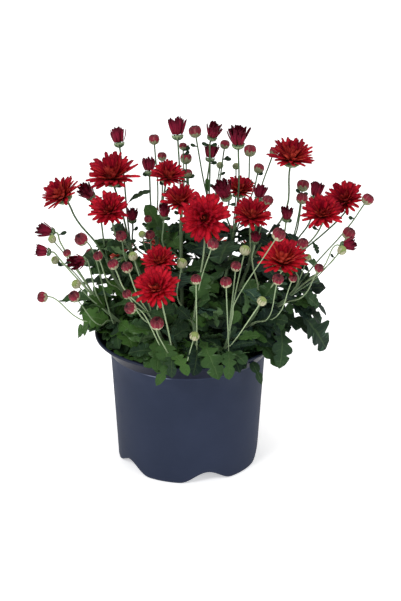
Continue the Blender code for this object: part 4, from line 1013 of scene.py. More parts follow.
def drill_drains(pot):
    """Cuts a round hole through the floor in each arch's channel."""
    shape = bmesh.new()
    for angle in ARCH_FIRST + even_circle(ARCH_COUNT):
        drilled = bmesh.ops.create_cone(
            shape, cap_ends=True, segments=DRAIN_SIDES, radius1=DRAIN_RADIUS, radius2=DRAIN_RADIUS,
            depth=40 * MM,
        )
        place = (DRAIN_CIRCLE * math.cos(angle), DRAIN_CIRCLE * math.sin(angle), 0)
        bmesh.ops.translate(shape, vec=place, verts=drilled["verts"])
    mesh = bpy.data.meshes.new("drills")
    shape.to_mesh(mesh)
    shape.free()
    drills = bpy.data.objects.new("drills", mesh)
    bpy.context.scene.collection.objects.link(drills)
    cut = pot.modifiers.new("drains", "BOOLEAN")
    cut.operation = "DIFFERENCE"
    cut.object = drills
    cut.solver = "EXACT"
    graph = bpy.context.evaluated_depsgraph_get()
    cut_mesh = bpy.data.meshes.new_from_object(pot.evaluated_get(graph))
    shape = bmesh.new()
    shape.from_mesh(cut_mesh)
    bmesh.ops.remove_doubles(shape, verts=shape.verts, dist=0.05 * MM)
    many_sided = [face for face in shape.faces if len(face.verts) > 4]
    bmesh.ops.triangulate(shape, faces=many_sided, ngon_method="BEAUTY")
    shape.to_mesh(cut_mesh)
    shape.free()
    pot.modifiers.clear()
    pot.data = cut_mesh
    bpy.data.objects.remove(drills, do_unlink=True)


# Compost

COMPOST_SEED = 3
COMPOST_GAP = 0.6 * MM  # to the pot's wall
COMPOST_SIDES = 110
MOUND_ROWS = 42
CLUMPS = ((1.0 * MM, 15 * MM), (0.6 * MM, 5 * MM))  # the heights and widths of its two ripples
CRUMB_COUNT = 420
CRUMB_RADIUS = (0.8, 2.6)  # mm


def ripple(points, random, wave, count=14):
    """A rough height over points: a sum of sines of random direction and phase, about a wave long."""
    turn = random.uniform(0, math.tau, count)
    waves = math.tau / (wave * random.uniform(0.6, 1.6, count))
    phase = random.uniform(0, math.tau, count)
    across = points[..., 0, None] * np.cos(turn) + points[..., 1, None] * np.sin(turn)
    return np.sin(across * waves + phase).sum(axis=-1) / math.sqrt(count)


def make_compost(material):
    """The root ball: inside the pot's wall up to its edge, then a clumpy mound, with loose crumbs on it."""
    random = np.random.default_rng(COMPOST_SEED)
    inner_foot = POT_FOOT_RADIUS - POT_WALL - COMPOST_GAP
    inner_collar = POT_COLLAR_FOOT_RADIUS - POT_WALL - COMPOST_GAP
    below = [
        (0, POT_WALL + 0.5 * MM), (CHANNEL_START, POT_WALL + 0.5 * MM), (inner_foot, POT_WALL + 1 * MM),
        (inner_collar, soil_height(inner_collar) - 2 * MM),
    ]
    mound = [(radius, soil_height(radius)) for radius in np.linspace(inner_collar, 0, MOUND_ROWS)]
    profile = np.array(below + mound)
    share = np.array([0, 0, 1, 0] + [0] * len(mound))
    points = turned(profile, -even_circle(COMPOST_SIDES), share)
    top = points[len(below):]
    fade = np.clip((inner_collar - profile[len(below):, :1]) / (3 * MM), 0, 1)
    top[..., 2] += fade * sum(height * ripple(top, random, wave) for height, wave in CLUMPS)
    skin = Skin()
    skin.add(points, 0, 0, 0.3)
    reach = (inner_collar - 4 * MM) * np.sqrt(random.uniform(0, 1, CRUMB_COUNT))
    angle = random.uniform(0, math.tau, CRUMB_COUNT)
    size = random.uniform(*CRUMB_RADIUS, CRUMB_COUNT) * MM
    middle = np.stack([reach * np.cos(angle), reach * np.sin(angle), soil_height(reach) + 0.7 * MM], axis=1)
    polar = np.linspace(0, math.pi, 5)
    around = -even_circle(6)
    ball = np.stack([
        np.sin(polar)[:, None] * np.cos(around), np.sin(polar)[:, None] * np.sin(around),
        -np.cos(polar)[:, None] * np.ones(6),
    ], axis=-1)
    rough = 1 + 0.3 * random.uniform(-1, 1, (CRUMB_COUNT, 5, 6))
    rough[:, [0, -1]] = 1
    stretch = random.uniform(0.6, 1.3, (CRUMB_COUNT, 1, 1, 3))
    crumbs = middle[:, None, None] + ball * rough[..., None] * stretch * size[:, None, None, None]
    skin.add(crumbs, 0, 0, random.uniform(0, 1, CRUMB_COUNT)[:, None, None])
    skin.build("compost_mound", ["root_ball"], [material])


# Leaves and stems

FOLIAGE_SEED = 500  # and the spray's number
STALK_SHARE = 0.15  # of a leaf's length, or more where its blade would be longer than the longest
LONGEST_BLADE = 46.0 * MM
BLADE_ROWS = np.array([0, 0.07, 0.17, 0.24, 0.3, 0.36, 0.43, 0.5, 0.56, 0.62, 0.69, 0.76, 0.84, 0.94, 1])
STALK_ROWS = np.array([0, 0.4])  # along the stalk
BLADE_RUN = np.concatenate([0 * STALK_ROWS, BLADE_ROWS])
STALK_RUN = np.concatenate([STALK_ROWS, 1 + 0 * BLADE_ROWS])
LEAF_COLUMNS = np.array([1, 0, -1])
LEAF_THICKNESS = 0.7 * MM
LOBE_START = 0.3  # along the blade, of the first pair of lobes
LOBE_PITCH = 0.26
LEAF_TONE_SPREAD = (-0.34, 0.36)
STEM_ROWS = 20
STEM_SIDES = 8
MAIN_TONE = 0.2
STEM_TONE_SPREAD = (-0.3, 0.12)
BRACT_PLACES = (0.5, 0.92)  # along a side stem
BRACT_LENGTH = (6.5, 9.0)  # mm
BRACT_WIDTH = (3.6, 4.8)
BRACT_THICKNESS = 0.8 * MM


def leaf_sheets(leaves, random):
    """Leaves as grids of points, on the same bent midribs as leaf_points.

    The half width is that of a blunt oval, notched by a power of a cosine between its pairs of round lobes,
    more or less deeply. The lobes are drawn forwards, the edges wave, and the stalk is a narrow strip.
    """
    base, along, normal, length, width, droop = (np.array(part)[:, None, None] for part in zip(*leaves))
    side = np.cross(along, normal)
    count = len(leaves)
    deep = random.uniform(0.2, 0.4, (count, 1, 1)) + 0.25 * np.clip((length - 30 * MM) / (30 * MM), 0, 1)
    phase = random.uniform(0, math.tau, (count, 1, 1))
    u = LEAF_COLUMNS
    stalk = np.maximum(STALK_SHARE, 1 - LONGEST_BLADE / length)
    blade_run = BLADE_RUN[:, None]
    t = stalk * STALK_RUN[:, None] + (1 - stalk) * blade_run
    oval = np.abs(np.sin(math.pi * blade_run**0.95)) ** (0.62 - 0.18 * blade_run)
    cut = (0.5 - 0.5 * np.cos(math.tau * (blade_run - LOBE_START) / LOBE_PITCH)) ** 2.2
    lobed = oval * (1 - deep * cut * (blade_run < 0.94))
    half = np.maximum(0.5 * lobed, 0.035 * (blade_run < 0.97))
    half = np.where((t == 0) | (blade_run == 1), 0.0, half)
    forward = t + 0.09 * np.abs(u) ** 1.5 * (1 - blade_run) * np.clip(blade_run * 6, 0, 1) * (1 - 0.5 * cut)
    bend = droop * forward
    run = np.sin(bend) / droop * length
    fall = (1 - np.cos(bend)) / droop * length
    across = u * half
    wave = 0.055 * np.sin(math.tau * 2.1 * blade_run + phase) * np.abs(u) ** 1.5
    wave = wave * np.clip(blade_run * 4, 0, 1)
    wave = wave + 0.04 * np.sin(math.tau * 1.2 * blade_run + 2 * phase) * u * blade_run
    crease = (LEAF_FOLD * np.abs(across) + wave * np.minimum(half * 4, 1)) * width
    sheets = base + run[..., None] * along - fall[..., None] * normal
    return sheets + (across * width)[..., None] * side + crease[..., None] * normal


def leaf_painted_light(leaf):
    """How much painted light a leaf's green gets, which turns it yellower: more so low down, at the front
    and at the left, towards the light.
    """
    front = np.clip(-leaf.base[1] / (90 * MM), -1, 1)
    left = np.clip(-leaf.base[0] / (70 * MM), -1, 1)
    low = np.clip((190 * MM - leaf.base[2]) / (70 * MM), -1, 1)
    return 0.38 + 0.05 * front + 0.2 * left + 0.06 * low


def add_leaves(skin, leaves, random):
    """Leaves with both faces, whose greens scatter at random about their tones of painted light."""
    # Painted light by each leaf's place, scattered at random
    tone = np.array([leaf_painted_light(leaf) for leaf in leaves]) + random.uniform(*LEAF_TONE_SPREAD, len(leaves))
    rows = np.ones(len(BLADE_RUN))
    rows[[0, -1]] = 0
    rings = blade(leaf_sheets(leaves, random), LEAF_THICKNESS, rows)
    across, sides = blade_places(LEAF_COLUMNS)
    skin.add(rings, BLADE_RUN[:, None], across, tone.clip(0, 1)[:, None, None], sides)


# A side stem's radius in the picture, as a share of the solid's
STEM_SHARES = {"bloom": 0.7, "half": 0.62, "bud": 0.54, "green": 0.52}
SLIGHT_HEAD = 9.0 * MM  # under a head narrower than this,
SLIGHT_SHARE = 0.9  # the stem has this share of its radius


def stem_painted_light(point):
    """How much painted light a stem gets, which makes it paler: the front ones stand in the light."""
    return float(np.clip(0.32 - point[1] / (150 * MM), 0, 1))


def add_stems(skin, spray, random):
    """The main stem, and side stems with bracts, thinner at the front, that widen under their heads."""
    main = smooth_path(spray.main.path, STEM_ROWS)
    radius = np.linspace(spray.main.radius, spray.main.tip_radius, STEM_ROWS)
    stem_tube(skin, main, radius, MAIN_TONE, rib=0.07)
    for stem, head in zip(spray.peduncles, spray.heads):
        path = np.vstack([smooth_path(stem.path, STEM_ROWS), head["cup_top"]])
        share = STEM_SHARES[head["kind"]] * (SLIGHT_SHARE if head["size"] < SLIGHT_HEAD else 1.0)
        share = share * (1 - 0.25 * np.clip(-head["middle"][1] / (100 * MM), 0, 1))
        swell = 1 + 0.4 * np.linspace(0, 1, STEM_ROWS + 1) ** 14
        # Painted light: front stems are paler, with a random scatter
        tone = np.clip(stem_painted_light(head["foot"]) + random.uniform(*STEM_TONE_SPREAD), 0, 1)
        stem_tube(skin, path, stem.radius * share * swell, tone, rib=0.08)
        bracts = random.integers(0, 4) if head["middle"][1] > -20 * MM else 0
        for fraction in random.uniform(*BRACT_PLACES, bracts):
            place, rising = along_path(path, fraction)
            upper = unit(np.array([random.uniform(-0.5, 0.5), -0.75, 0.66]) + 0.2 * rising)
            side, forward = head_axes(upper)
            aim = np.array([random.choice([-1.0, 1.0]), 0, random.uniform(0, 0.6)])
            petals(
                skin, place, upper, [math.atan2(aim @ forward, aim @ side)], reach=0.2 * MM, height=0,
                length=random.uniform(*BRACT_LENGTH) * MM, lean=math.radians(random.uniform(0, 20)),
                curl=math.radians(15), width=random.uniform(*BRACT_WIDTH) * MM, cup=0.1, tone=0.25,
                thickness=BRACT_THICKNESS, widths=STALKED_WIDTHS,
            )


# Heads

# A ring of petals: their number, then where they start, their length and their width, all in the head's own
# unit, and between them the lean and curl in degrees, and last the cup
Layer = namedtuple("Layer", "count reach height length lean curl width cup")
BLOOM_LAYERS = [
    Layer(20, 0.10, 0.02, 1.00, 22, -10, 0.20, 0.34),
    Layer(19, 0.10, 0.04, 1.00, 36, -8, 0.20, 0.38),
    Layer(17, 0.09, 0.05, 0.98, 48, -6, 0.195, 0.44),
    Layer(14, 0.08, 0.06, 0.93, 58, 0, 0.185, 0.50),
    Layer(12, 0.06, 0.07, 0.84, 67, 8, 0.17, 0.58),
    Layer(8, 0.07, 0.09, 0.5, 66, 34, 0.14, 0.64),
]
HALF_OPEN_LAYERS = [
    Layer(11, 0.26, 0.02, 0.82, 62, 22, 0.22, 0.45),
    Layer(10, 0.21, 0.03, 0.90, 70, 14, 0.21, 0.45),
    Layer(8, 0.14, 0.05, 0.88, 78, 8, 0.19, 0.50),
    Layer(5, 0.05, 0.06, 0.78, 85, 6, 0.17, 0.50),
]

# An open kind of head: its seed (its number is added), slot, layers, unit in head sizes, how ragged its
# petals' lengths are, and its eye: the height of its middle, its radius, its ribs and how high they are
Form = namedtuple("Form", "seed slot layers unit ragged eye_height eye_radius ribs rib")
FORMS = {
    "bloom": Form(100, "petal_red", BLOOM_LAYERS, 0.5, 0.1, 0.2, 0.26, 8, 0.06),
    "half": Form(300, "half_open_crimson", HALF_OPEN_LAYERS, 1.0, 0.15, 0.3, 0.27, 7, 0.05),
}
EYE_TONE = 0.1
LAYER_TURN = 2.4  # radians, from each layer's first petal to the next one's

# Rings of bracts or petals. On a cup: number, lean in degrees, and length as a share of the cup's side.
# On a bud: number, radius as a share of the bud's, the angle where they end and how much their length
# scatters. Round its foot: number, radius as a share of the bud's, and by how much they end before the
# longest.
CUP_RINGS = ((10, 22, 1.05), (9, 6, 0.756))
BUD_RINGS = ((9, 0.98, 132, 0.12), (8, 0.93, 146, 0.12), (6, 0.88, 160, 0.06))
FOOT_RINGS = ((9, 1.0, 0), (8, 1.05, 24))
FOOT_ENDS = {"bud": 80, "green": 126}  # the angle where the longest end


def add_layers(skin, base, way, layers, scale, random, tone, ragged):
    """Rings of petals, each turned from the last, with small random changes to every petal and painted
    shade that deepens ring by ring inwards.
    """
    for rank, layer in enumerate(layers):
        turns = even_turns(layer.count, random, start=rank * LAYER_TURN)
        vary = random.uniform(-1, 1, (6, layer.count))
        # Painted shade: each inner ring's tone is darker by 0.07
        petals(
            skin, base, way, turns, reach=layer.reach * scale, height=layer.height * scale,
            length=layer.length * scale * (0.98 + ragged * vary[0]),
            lean=np.radians(layer.lean + 7 * vary[1]), curl=np.radians(layer.curl + 12 * vary[2]),
            width=layer.width * scale * (1 + 0.14 * vary[3]), cup=layer.cup,
            tone=np.clip(tone + 0.3 * vary[5] - 0.07 * rank, 0, 1), sway=0.12 * vary[4],
        )


def make_head(name, head, number, materials):
    """A bloom, its outer petals spread and its inner ones upright, or a half-open head, a brush of them."""
    form = FORMS[head["kind"]]
    random = np.random.default_rng(form.seed + number)
    skin = Skin()
    way = head["way"]
    bottom = head["cup_top"] + way * GAP
    unit_size = form.unit * head["size"]
    tone = 0.5
    # Painted light: blooms nearer the front take a lighter red
    if head["kind"] == "bloom":
        tone = 0.54 + 0.4 * np.clip(0.5 - head["middle"][1] / (150 * MM), 0, 1)
    add_layers(skin, bottom, way, form.layers, unit_size, random, tone, form.ragged)
    rise = form.eye_height * unit_size
    ribbed_ball(
        skin, bottom + way * rise, way, form.eye_radius * unit_size, rise, rows=9, ribs=form.ribs,
        tone=EYE_TONE, rib=form.rib, finish=EYE,
    )
    skin.build(name, [name], materials)


def arc_petals(skin, base, way, radius, count, start, end, width, random, tone, scatter=0.1, **more):
    """Petals or bracts that hug a ball of a radius, between two angles in degrees from its lower pole."""
    turns = even_turns(count, random)
    lean, curl = math.radians(start), math.radians(end - start)
    vary = 1 + random.uniform(-scatter, scatter, count)
    petals(
        skin, base, way, turns, reach=radius * math.sin(lean), height=-radius * math.cos(lean),
        length=radius * curl * vary, lean=lean, curl=curl * vary, width=width, cup=0.25, tone=tone, **more,
    )


def add_cup(skin, head, random):
    """The green cup under a bloom or half-open head: a bowl from the stem's end, in two rings of bracts."""
    top_radius = (0.21 if head["kind"] == "bloom" else 0.32) * head["size"]
    depth = float(np.linalg.norm(head["cup_top"] - head["stem_end"]))
    way = head["way"]
    angle = np.linspace(0, math.pi / 2, 9)
    radius = np.append(PEDUNCLE_RADIUS + (top_radius - PEDUNCLE_RADIUS) * np.sin(angle), 0)
    radius[0] = 0
    height = np.append(depth * (1 - np.cos(angle)), depth)
    round_shape(skin, head["stem_end"], way, radius, height, ribs=10, tone=0.5, rib=0.04, finish=STEM_GREEN)
    for count, lean, length in CUP_RINGS:
        petals(
            skin, head["stem_end"], way, even_turns(count, random), reach=1.0 * MM, height=-0.2 * MM,
            length=length * math.hypot(top_radius, depth), lean=math.radians(lean), curl=math.radians(52),
            width=top_radius * 0.75, cup=0.3, tone=0.55, widths=POINTED_WIDTHS,
        )


def add_bud(skin, head, random):
    """A bud: petals that hug a ball up to a crown of tips. A green bud's ball is bare, and its tone 0."""
    way, middle = head["way"], head["middle"]
    radius = 0.5 * head["size"]
    share, tone, rings = (0.96, 0.0, ()) if head["kind"] == "green" else (0.86, 0.5, BUD_RINGS)
    ribbed_ball(skin, middle, way, share * radius, share * radius, rows=13, ribs=12, tone=tone, rib=0.05)
    for count, grow, end, scatter in rings:
        arc_petals(
            skin, middle, way, grow * radius, count, start=40, end=end, width=0.86 * radius, random=random,
            tone=random.uniform(0.3, 0.9, count), scatter=scatter,
        )


def add_bud_bracts(skin, head, random):
    """The pale bracts that hold a bud: to a third of its height, or most of it on a young green one."""
    radius = 0.5 * head["size"]
    # Painted light: the bracts of front buds are paler
    tone = 0.2 + 0.7 * stem_painted_light(head["middle"])
    for count, grow, less in FOOT_RINGS:
        arc_petals(
            skin, head["middle"], head["way"], grow * radius, count, start=12,
            end=FOOT_ENDS[head["kind"]] - less, width=0.7 * radius, random=random, tone=tone,
            widths=POINTED_WIDTHS, finish=(BRACT_CREAM, BRACT_CREAM),
        )


# Finishes

class Value:
    """A shader socket in a sum: an expression on values adds its Math nodes."""

    def __init__(self, finish, socket):
        """A socket of one of a finish's nodes."""
        self.finish = finish
        self.socket = socket

    def math(self, operation, *others):
        """The result of a Math node on this value and others."""
        return self.finish.node("Math", {"operation": operation}, dict(enumerate((self, *others))))

    def __add__(self, other):
        return self.math("ADD", other)

    __radd__ = __add__

    def __sub__(self, other):
        return self.math("SUBTRACT", other)

    def __rsub__(self, other):
        return self.finish.node("Math", {"operation": "SUBTRACT"}, {0: other, 1: self})

    def __mul__(self, other):
        return self.math("MULTIPLY", other)

    __rmul__ = __mul__

    def __pow__(self, other):
        return self.math("POWER", other)

    def parts(self):
        """The three numbers of a vector."""
        return self.finish.outputs("SeparateXYZ", {}, {0: self})

    def wave(self, turns):
        """A cosine from 0 to 1 that comes round a number of times while the value goes from 0 to 1."""
        return 0.5 + 0.5 * (self * (math.tau * turns)).math("COSINE")

    def rise(self, start, end):
        """A smooth step from 0 at the start to 1 at the end."""
        limits = {"Value": self, "From Min": start, "From Max": end}
        return self.finish.node("MapRange", {"interpolation_type": "SMOOTHSTEP"}, limits)


class Finish:
    """A material and its nodes."""

    def __init__(self, name):
        """A new material with nodes."""
        self.material = bpy.data.materials.new(name)
        self.material.use_nodes = True
        self.tree = self.material.node_tree
        self.shader = self.tree.nodes["Principled BSDF"]

    def outputs(self, kind, settings, inputs):
        """Adds a node, applies its settings and feeds its sockets. Returns its outputs."""
        node = self.tree.nodes.new("ShaderNode" + kind)
        for key, value in settings.items():
            setattr(node, key, value)
        for key, value in inputs.items():
            self.feed(node.inputs[key], value)
        return [Value(self, socket) for socket in node.outputs]

    def node(self, kind, settings, inputs):
        """Adds a node and returns its first output."""
        return self.outputs(kind, settings, inputs)[0]

    def feed(self, socket, value):
        """Links a value to a socket, or sets the socket to a number or colour."""
        if isinstance(value, Value):
            self.tree.links.new(value.socket, socket)
        else:
            socket.default_value = value

    def mix(self, amount, first, second):
        """A colour between two, by an amount from 0 to 1."""
        return self.outputs("Mix", {"data_type": "RGBA"}, {0: amount, 6: first, 7: second})[2]

    def own_place(self):
        """The object's own coordinates."""
        return self.outputs("TexCoord", {}, {})[3]

    def grain(self, scale, detail=3.0):
        """Noise over the object's own coordinates, from 0 to 1."""
        return self.node("TexNoise", {}, {"Vector": self.own_place(), "Scale": scale, "Detail": detail})

    def place(self):
        """Along, across and tone, as every skin's points keep them."""
        return self.outputs("Attribute", {"attribute_name": "place"}, {})[1].parts()

    def shade(self, colour, roughness, height=None, depth=0.0, **constants):
        """Joins the colour, roughness and relief to the shader, and sets its constants."""
        self.feed(self.shader.inputs["Base Color"], colour)
        self.feed(self.shader.inputs["Roughness"], roughness)
        if height is not None:
            normal = self.node("Bump", {}, {"Height": height, "Distance": depth, "Strength": 1.0})
            self.feed(self.shader.inputs["Normal"], normal)
        for key, value in constants.items():
            self.shader.inputs[key.replace("_", " ")].default_value = value
        return self.material


def rgb(red, green, blue):
    """A colour given as it shows on a screen, from 0 to 255, in the shader's own scale."""
    shares = [value / 255 for value in (red, green, blue)]
    return (*[s / 12.92 if s <= 0.04045 else ((s + 0.055) / 1.055) ** 2.4 for s in shares], 1.0)


def slate_plastic():
    """Matte slate plastic with faint scuffs and dust, and the fine grain of the mould.

    The collar carries painted shade and is smoother, and a painted highlight lies along the step under it
    at the front's left.
    """
    finish = Finish("slate_plastic_finish")
    across, depth, height = finish.own_place().parts()
    over_step = height - POT_COLLAR_FOOT_HEIGHT
    # Painted shade: the collar's band is darkened as shade under the lip, less so on the lip's top; the
    # same mask makes it smoother
    collar = over_step.rise(0.2 * MM, 1.6 * MM) * (1.0 - height.rise(POT_HEIGHT - 3 * MM, POT_HEIGHT) * 0.6)
    # Painted highlight: a pale line along the step under the collar, only at the front's left
    painted_highlight = 1.0 - (over_step + 0.4 * MM).math("ABSOLUTE").rise(0.3 * MM, 1.1 * MM)
    painted_highlight = painted_highlight * across.rise(-46 * MM, -34 * MM) * (1.0 - across.rise(-22 * MM, -14 * MM))
    painted_highlight = painted_highlight * (1.0 - depth.rise(-30 * MM, 0.0))
    dust = over_step.rise(-26 * MM, -1 * MM) * (1.0 - collar) * finish.grain(22.0, 4.0).rise(0.35, 0.75)
    cloud = finish.grain(14.0, 5.0)
    scuff = finish.grain(70.0, 6.0).rise(0.52, 0.8)
    fine = finish.grain(1400.0, 2.0)
    colour = finish.mix(cloud.rise(0.3, 0.75), rgb(38, 46, 66), rgb(44, 52, 73))
    colour = finish.mix(scuff * 0.1, colour, rgb(62, 68, 88))
    colour = finish.mix(dust * 0.25, colour, rgb(84, 90, 108))
    # Painted shade: the collar's band turns dark navy
    colour = finish.mix(collar * 0.9, colour, rgb(12, 16, 34))
    # Painted highlight along the step
    colour = finish.mix(painted_highlight * 0.8, colour, rgb(128, 134, 158))
    roughness = (0.56 + 0.14 * cloud + 0.1 * scuff) * (1.0 - collar * 0.35)
    return finish.shade(colour, roughness, fine + 2.0 * cloud, 0.06 * MM, Specular_IOR_Level=0.12)


def compost_finish():
    """Dark peat with paler fibres."""
    finish = Finish("peat")
    _, _, tone = finish.place()
    fleck = finish.grain(420.0, 4.0)
    colour = finish.mix(fleck.rise(0.35, 0.7), rgb(26, 19, 15), rgb(66, 50, 38))
    colour = finish.mix(tone.rise(0.82, 0.98) * 0.6, colour, rgb(120, 96, 70))
    return finish.shade(colour, 0.95, fleck, 0.8 * MM)


# The leaves' colours: in shade, in light, and the veins
LEAF_COLOURS = {
    "leaf_upper": ((20, 40, 33), (62, 98, 38), (94, 120, 74)),
    "leaf_under": ((44, 70, 56), (90, 118, 74), (116, 138, 98)),
}

# The petals' colours: the foot, the body in shade and in light, and the tip, then where the tip starts and
# where the foot gives way to the body
PETAL_COLOURS = {
    "petal_face": ((78, 4, 16), (148, 12, 40), (230, 34, 56), (116, 6, 24), 0.8, (0.05, 0.6)),
    "petal_reverse": ((130, 26, 32), (160, 30, 38), (230, 96, 72), (130, 12, 26), 0.8, (0.05, 0.6)),
    "bloom_eye": ((66, 8, 12), (104, 34, 24), (140, 70, 44), (128, 66, 44), 0.8, (0.05, 0.6)),
    "half_open_face": ((84, 6, 24), (92, 6, 28), (120, 10, 38), (38, 3, 16), 0.55, (0.05, 0.6)),
    "half_open_reverse": ((132, 30, 50), (108, 12, 40), (138, 24, 54), (40, 3, 18), 0.6, (0.05, 0.6)),
    "bud_petal": ((176, 128, 118), (104, 6, 36), (142, 16, 52), (48, 3, 20), 0.6, (0.16, 0.36)),
}


def leaf_finish(name):
    """A leaf's green between painted shade and painted light by its tone, with paler veins: the midrib, and
    side veins that follow the lobes.

    The veins stand out below and are sunk above.
    """
    dark, light, vein = (rgb(*colour) for colour in LEAF_COLOURS[name])
    is_under = name == "leaf_under"
    finish = Finish(name)
    along, across, tone = finish.place()
    off_rib = (across - 0.5).math("ABSOLUTE") * 2.0
    rib = 1.0 - off_rib.rise(0.03, 0.13)
    side_vein = ((along - LOBE_START - off_rib * 0.1) * (2 / LOBE_PITCH)).wave(1.0) ** 14.0
    side_vein = side_vein * (1.0 - off_rib.rise(0.5, 0.95))
    veins = rib.math("MAXIMUM", side_vein * 0.45)
    cloud = finish.grain(60.0, 4.0)
    fine = finish.grain(900.0, 3.0)
    # Painted light and shade: the tone moves the green from the shaded colour to the lit one
    colour = finish.mix((tone + (cloud - 0.5) * 0.5).rise(0.0, 1.0), dark, light)
    colour = finish.mix(veins * (0.45 if is_under else 0.28), colour, vein)
    relief = veins * (1.0 if is_under else -1.0) + fine * 0.25 + cloud * 0.5
    return finish.shade(colour, 0.56 + 0.2 * fine, relief, 0.35 * MM, Specular_IOR_Level=0.22)


def stem_finish():
    """A pale ribbed stem: greener in its grooves, and paler by its tone, which holds painted light at the
    front and a random scatter.
    """
    finish = Finish("stem_green")
    _, across, tone = finish.place()
    cloud = finish.grain(120.0, 3.0)
    fine = finish.grain(1500.0, 2.0)
    # Painted light and random tone: the tone moves the stem from its dark green to its pale one
    colour = finish.mix(tone, rgb(74, 100, 70), rgb(192, 212, 168))
    colour = finish.mix((1.0 - across) * 0.35, colour, rgb(74, 102, 60))
    colour = finish.mix(cloud.rise(0.45, 0.8) * 0.3, colour, rgb(130, 140, 96))
    return finish.shade(colour, 0.62, fine, 0.1 * MM, Specular_IOR_Level=0.25)


def bract_finish():
    """The bracts round a bud: green at the stem, cream at their thin tips, paler with their tone, which is
    painted light on the front buds.
    """
    finish = Finish("bract_cream")
    along, across, tone = finish.place()
    cloud = finish.grain(260.0, 3.0)
    fine = finish.grain(1500.0, 2.0)
    # Painted light: the tone lifts the bracts from dull green to pale cream
    colour = finish.mix(tone, rgb(112, 126, 92), rgb(196, 192, 158))
    colour = finish.mix((1.0 - along.rise(0.1, 0.7)) * 0.7, colour, rgb(104, 126, 78))
    colour = finish.mix(cloud.rise(0.45, 0.8) * 0.3, colour, rgb(150, 110, 100))
    return finish.shade(colour, 0.6, across.wave(2.0) + fine * 0.5, 0.15 * MM, Specular_IOR_Level=0.2)


def petal_finish(name):
    """A petal: its foot's own colour, its body between painted shade and painted light by its tone, a
    darker tip, painted shade at its edges, and fine grooves along it.
    """
    *colours, tip_start, foot = PETAL_COLOURS[name]
    base, body, lit_body, tip = (rgb(*colour) for colour in colours)
    finish = Finish(name)
    along, across, tone = finish.place()
    cloud = finish.grain(220.0, 3.0)
    groove = across.wave(2.0)
    streak = across.wave(5.0)
    colour = finish.mix((tone + (cloud - 0.5) * 0.4).rise(0.0, 1.0), body, lit_body)
    colour = finish.mix((1.0 - along.rise(*foot)) * 0.75, colour, base)
    colour = finish.mix(along.rise(tip_start, 1.0) * 0.7, colour, tip)
    colour = finish.mix(streak * 0.16, colour, base)
    # Painted shade: the petal darkens towards its edges, as in the gaps between petals
    edge = ((across - 0.5).math("ABSOLUTE") * 2.0).rise(0.5, 1.0)
    colour = finish.mix(edge * 0.4, colour, base)
    return finish.shade(
        colour, 0.58 + 0.12 * cloud, groove + 0.4 * streak, 0.25 * MM, Specular_IOR_Level=0.12
    )


def bud_finish():
    """A closed bud's ball: crimson, dark on top, pale at its foot, or yellow-green where its tone is 0."""
    finish = Finish("bud_crimson")
    along, across, tone = finish.place()
    cloud = finish.grain(300.0, 3.0)
    colour = finish.mix(cloud.rise(0.3, 0.7), rgb(92, 10, 40), rgb(136, 24, 60))
    colour = finish.mix(along.rise(0.5, 0.9), colour, rgb(48, 4, 20))
    colour = finish.mix(across * 0.3, colour, rgb(66, 6, 28))
    edge = along + across * 0.08
    colour = finish.mix(1.0 - edge.rise(0.26, 0.42), colour, rgb(166, 172, 128))
    green = finish.mix(along.rise(0.5, 0.95), rgb(126, 146, 84), rgb(158, 170, 104))
    green = finish.mix(across * 0.4, green, rgb(98, 120, 64))
    colour = finish.mix(1.0 - tone.rise(0.1, 0.3), colour, green)
    return finish.shade(colour, 0.55, across, 0.2 * MM, Specular_IOR_Level=0.15)


# Studio

LIGHT_AIM = (0, 0, 0.2)


def make_floor():
    """A wide white floor that shines a little, so that the picture's ground stays white."""
    mesh = bpy.data.meshes.new("floor")
    mesh.from_pydata([(-9, -9, 0), (9, -9, 0), (9, 9, 0), (-9, 9, 0)], [], [(0, 1, 2, 3)])
    floor = bpy.data.objects.new("floor", mesh)
    bpy.context.scene.collection.objects.link(floor)
    finish = Finish("studio_floor")
    colour = finish.mix(finish.grain(2.0), rgb(250, 250, 250), rgb(255, 255, 255))
    mesh.materials.append(finish.shade(colour, 0.9, Emission_Color=(1, 1, 1, 1), Emission_Strength=0.5))


def add_light(name, place, size, power):
    """A round lamp that points at the plant: its size in metres, its power in watts."""
    lamp = bpy.data.lights.new(name, "AREA")
    lamp.shape = "DISK"
    lamp.size = size
    lamp.energy = power
    light = bpy.data.objects.new(name, lamp)
    light.location = place
    way = np.array(LIGHT_AIM) - np.array(place)
    flat = math.hypot(way[0], way[1])
    light.rotation_euler = (math.atan2(flat, -way[2]), 0, math.atan2(-way[0], way[1]))
    bpy.context.scene.collection.objects.link(light)


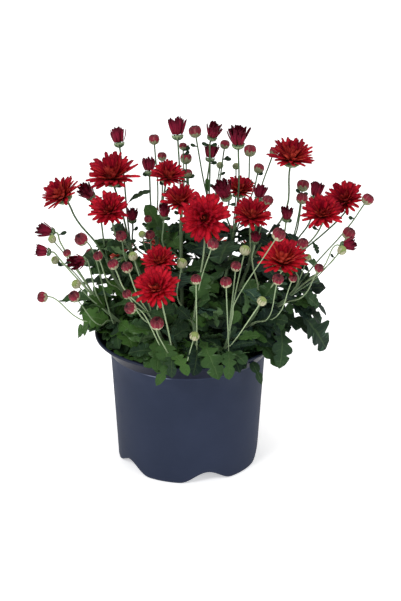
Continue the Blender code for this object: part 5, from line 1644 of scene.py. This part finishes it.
def make_studio():
    """A white surround, and three lamps."""
    scene = bpy.context.scene
    world = bpy.data.worlds.new("studio")
    world.use_nodes = True
    world.node_tree.nodes["Background"].inputs["Color"].default_value = (1, 1, 1, 1)
    world.node_tree.nodes["Background"].inputs["Strength"].default_value = 0.5
    scene.world = world
    scene.view_settings.view_transform = "Standard"
    scene.view_settings.look = "None"
    add_light("key", (-1.3, -1.9, 2.3), 0.9, 34)
    add_light("fill", (1.9, -1.5, 1.3), 1.4, 8)
    add_light("top", (0.2, 0.6, 2.4), 1.2, 18)


def make_camera():
    """The camera at the photograph's place. The long side of its sensor is the picture's own."""
    lens = bpy.data.cameras.new("camera")
    lens.sensor_width = 36.0
    lens.lens = PICTURE_FOCAL * lens.sensor_width / PICTURE_LENGTH
    camera = bpy.data.objects.new("camera", lens)
    camera.location = VIEW_PLACE
    camera.rotation_euler = (math.pi / 2 - VIEW_TILT, 0, 0)
    bpy.context.scene.collection.objects.link(camera)
    bpy.context.scene.camera = camera


def main():
    """Builds the studio, each spray's foliage, buds and open heads, the pot and the compost."""
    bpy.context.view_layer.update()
    make_camera()
    make_studio()
    make_floor()
    sprays = lay_out()
    fill = fill_leaves(sprays)
    greens = [leaf_finish("leaf_upper"), leaf_finish("leaf_under"), stem_finish(), bract_finish()]
    red = {name: petal_finish(name) for name in PETAL_COLOURS}
    bud = [bud_finish(), red["bud_petal"]]
    names = {"bloom": "bloom", "half": "half_open"}
    reds = {
        "bloom": [red["petal_face"], red["petal_reverse"], red["bloom_eye"]],
        "half": [red["half_open_face"], red["half_open_reverse"], red["bloom_eye"]],
    }
    made = {"bloom": 0, "half": 0}
    for number, (spray, more) in enumerate(zip(sprays, fill), 1):
        node = f"leafy_stem_{number:02d}_{spray.name}"
        random = np.random.default_rng(FOLIAGE_SEED + number)
        green = Skin()
        buds = Skin()
        add_stems(green, spray, random)
        add_leaves(green, spray.leaves + more, random)
        for head in spray.heads:
            kind = head["kind"]
            if kind in made:
                made[kind] += 1
                make_head(f"{names[kind]}_{made[kind]:02d}", head, made[kind], reds[kind])
                add_cup(green, head, random)
            else:
                add_bud(buds, head, random)
                add_bud_bracts(green, head, random)
        green.build(f"foliage_{spray.name}", [node], greens)
        if buds.count:
            buds.build(f"buds_{spray.name}", [node], bud)
    make_pot(slate_plastic())
    make_compost(compost_finish())
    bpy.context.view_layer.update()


main()
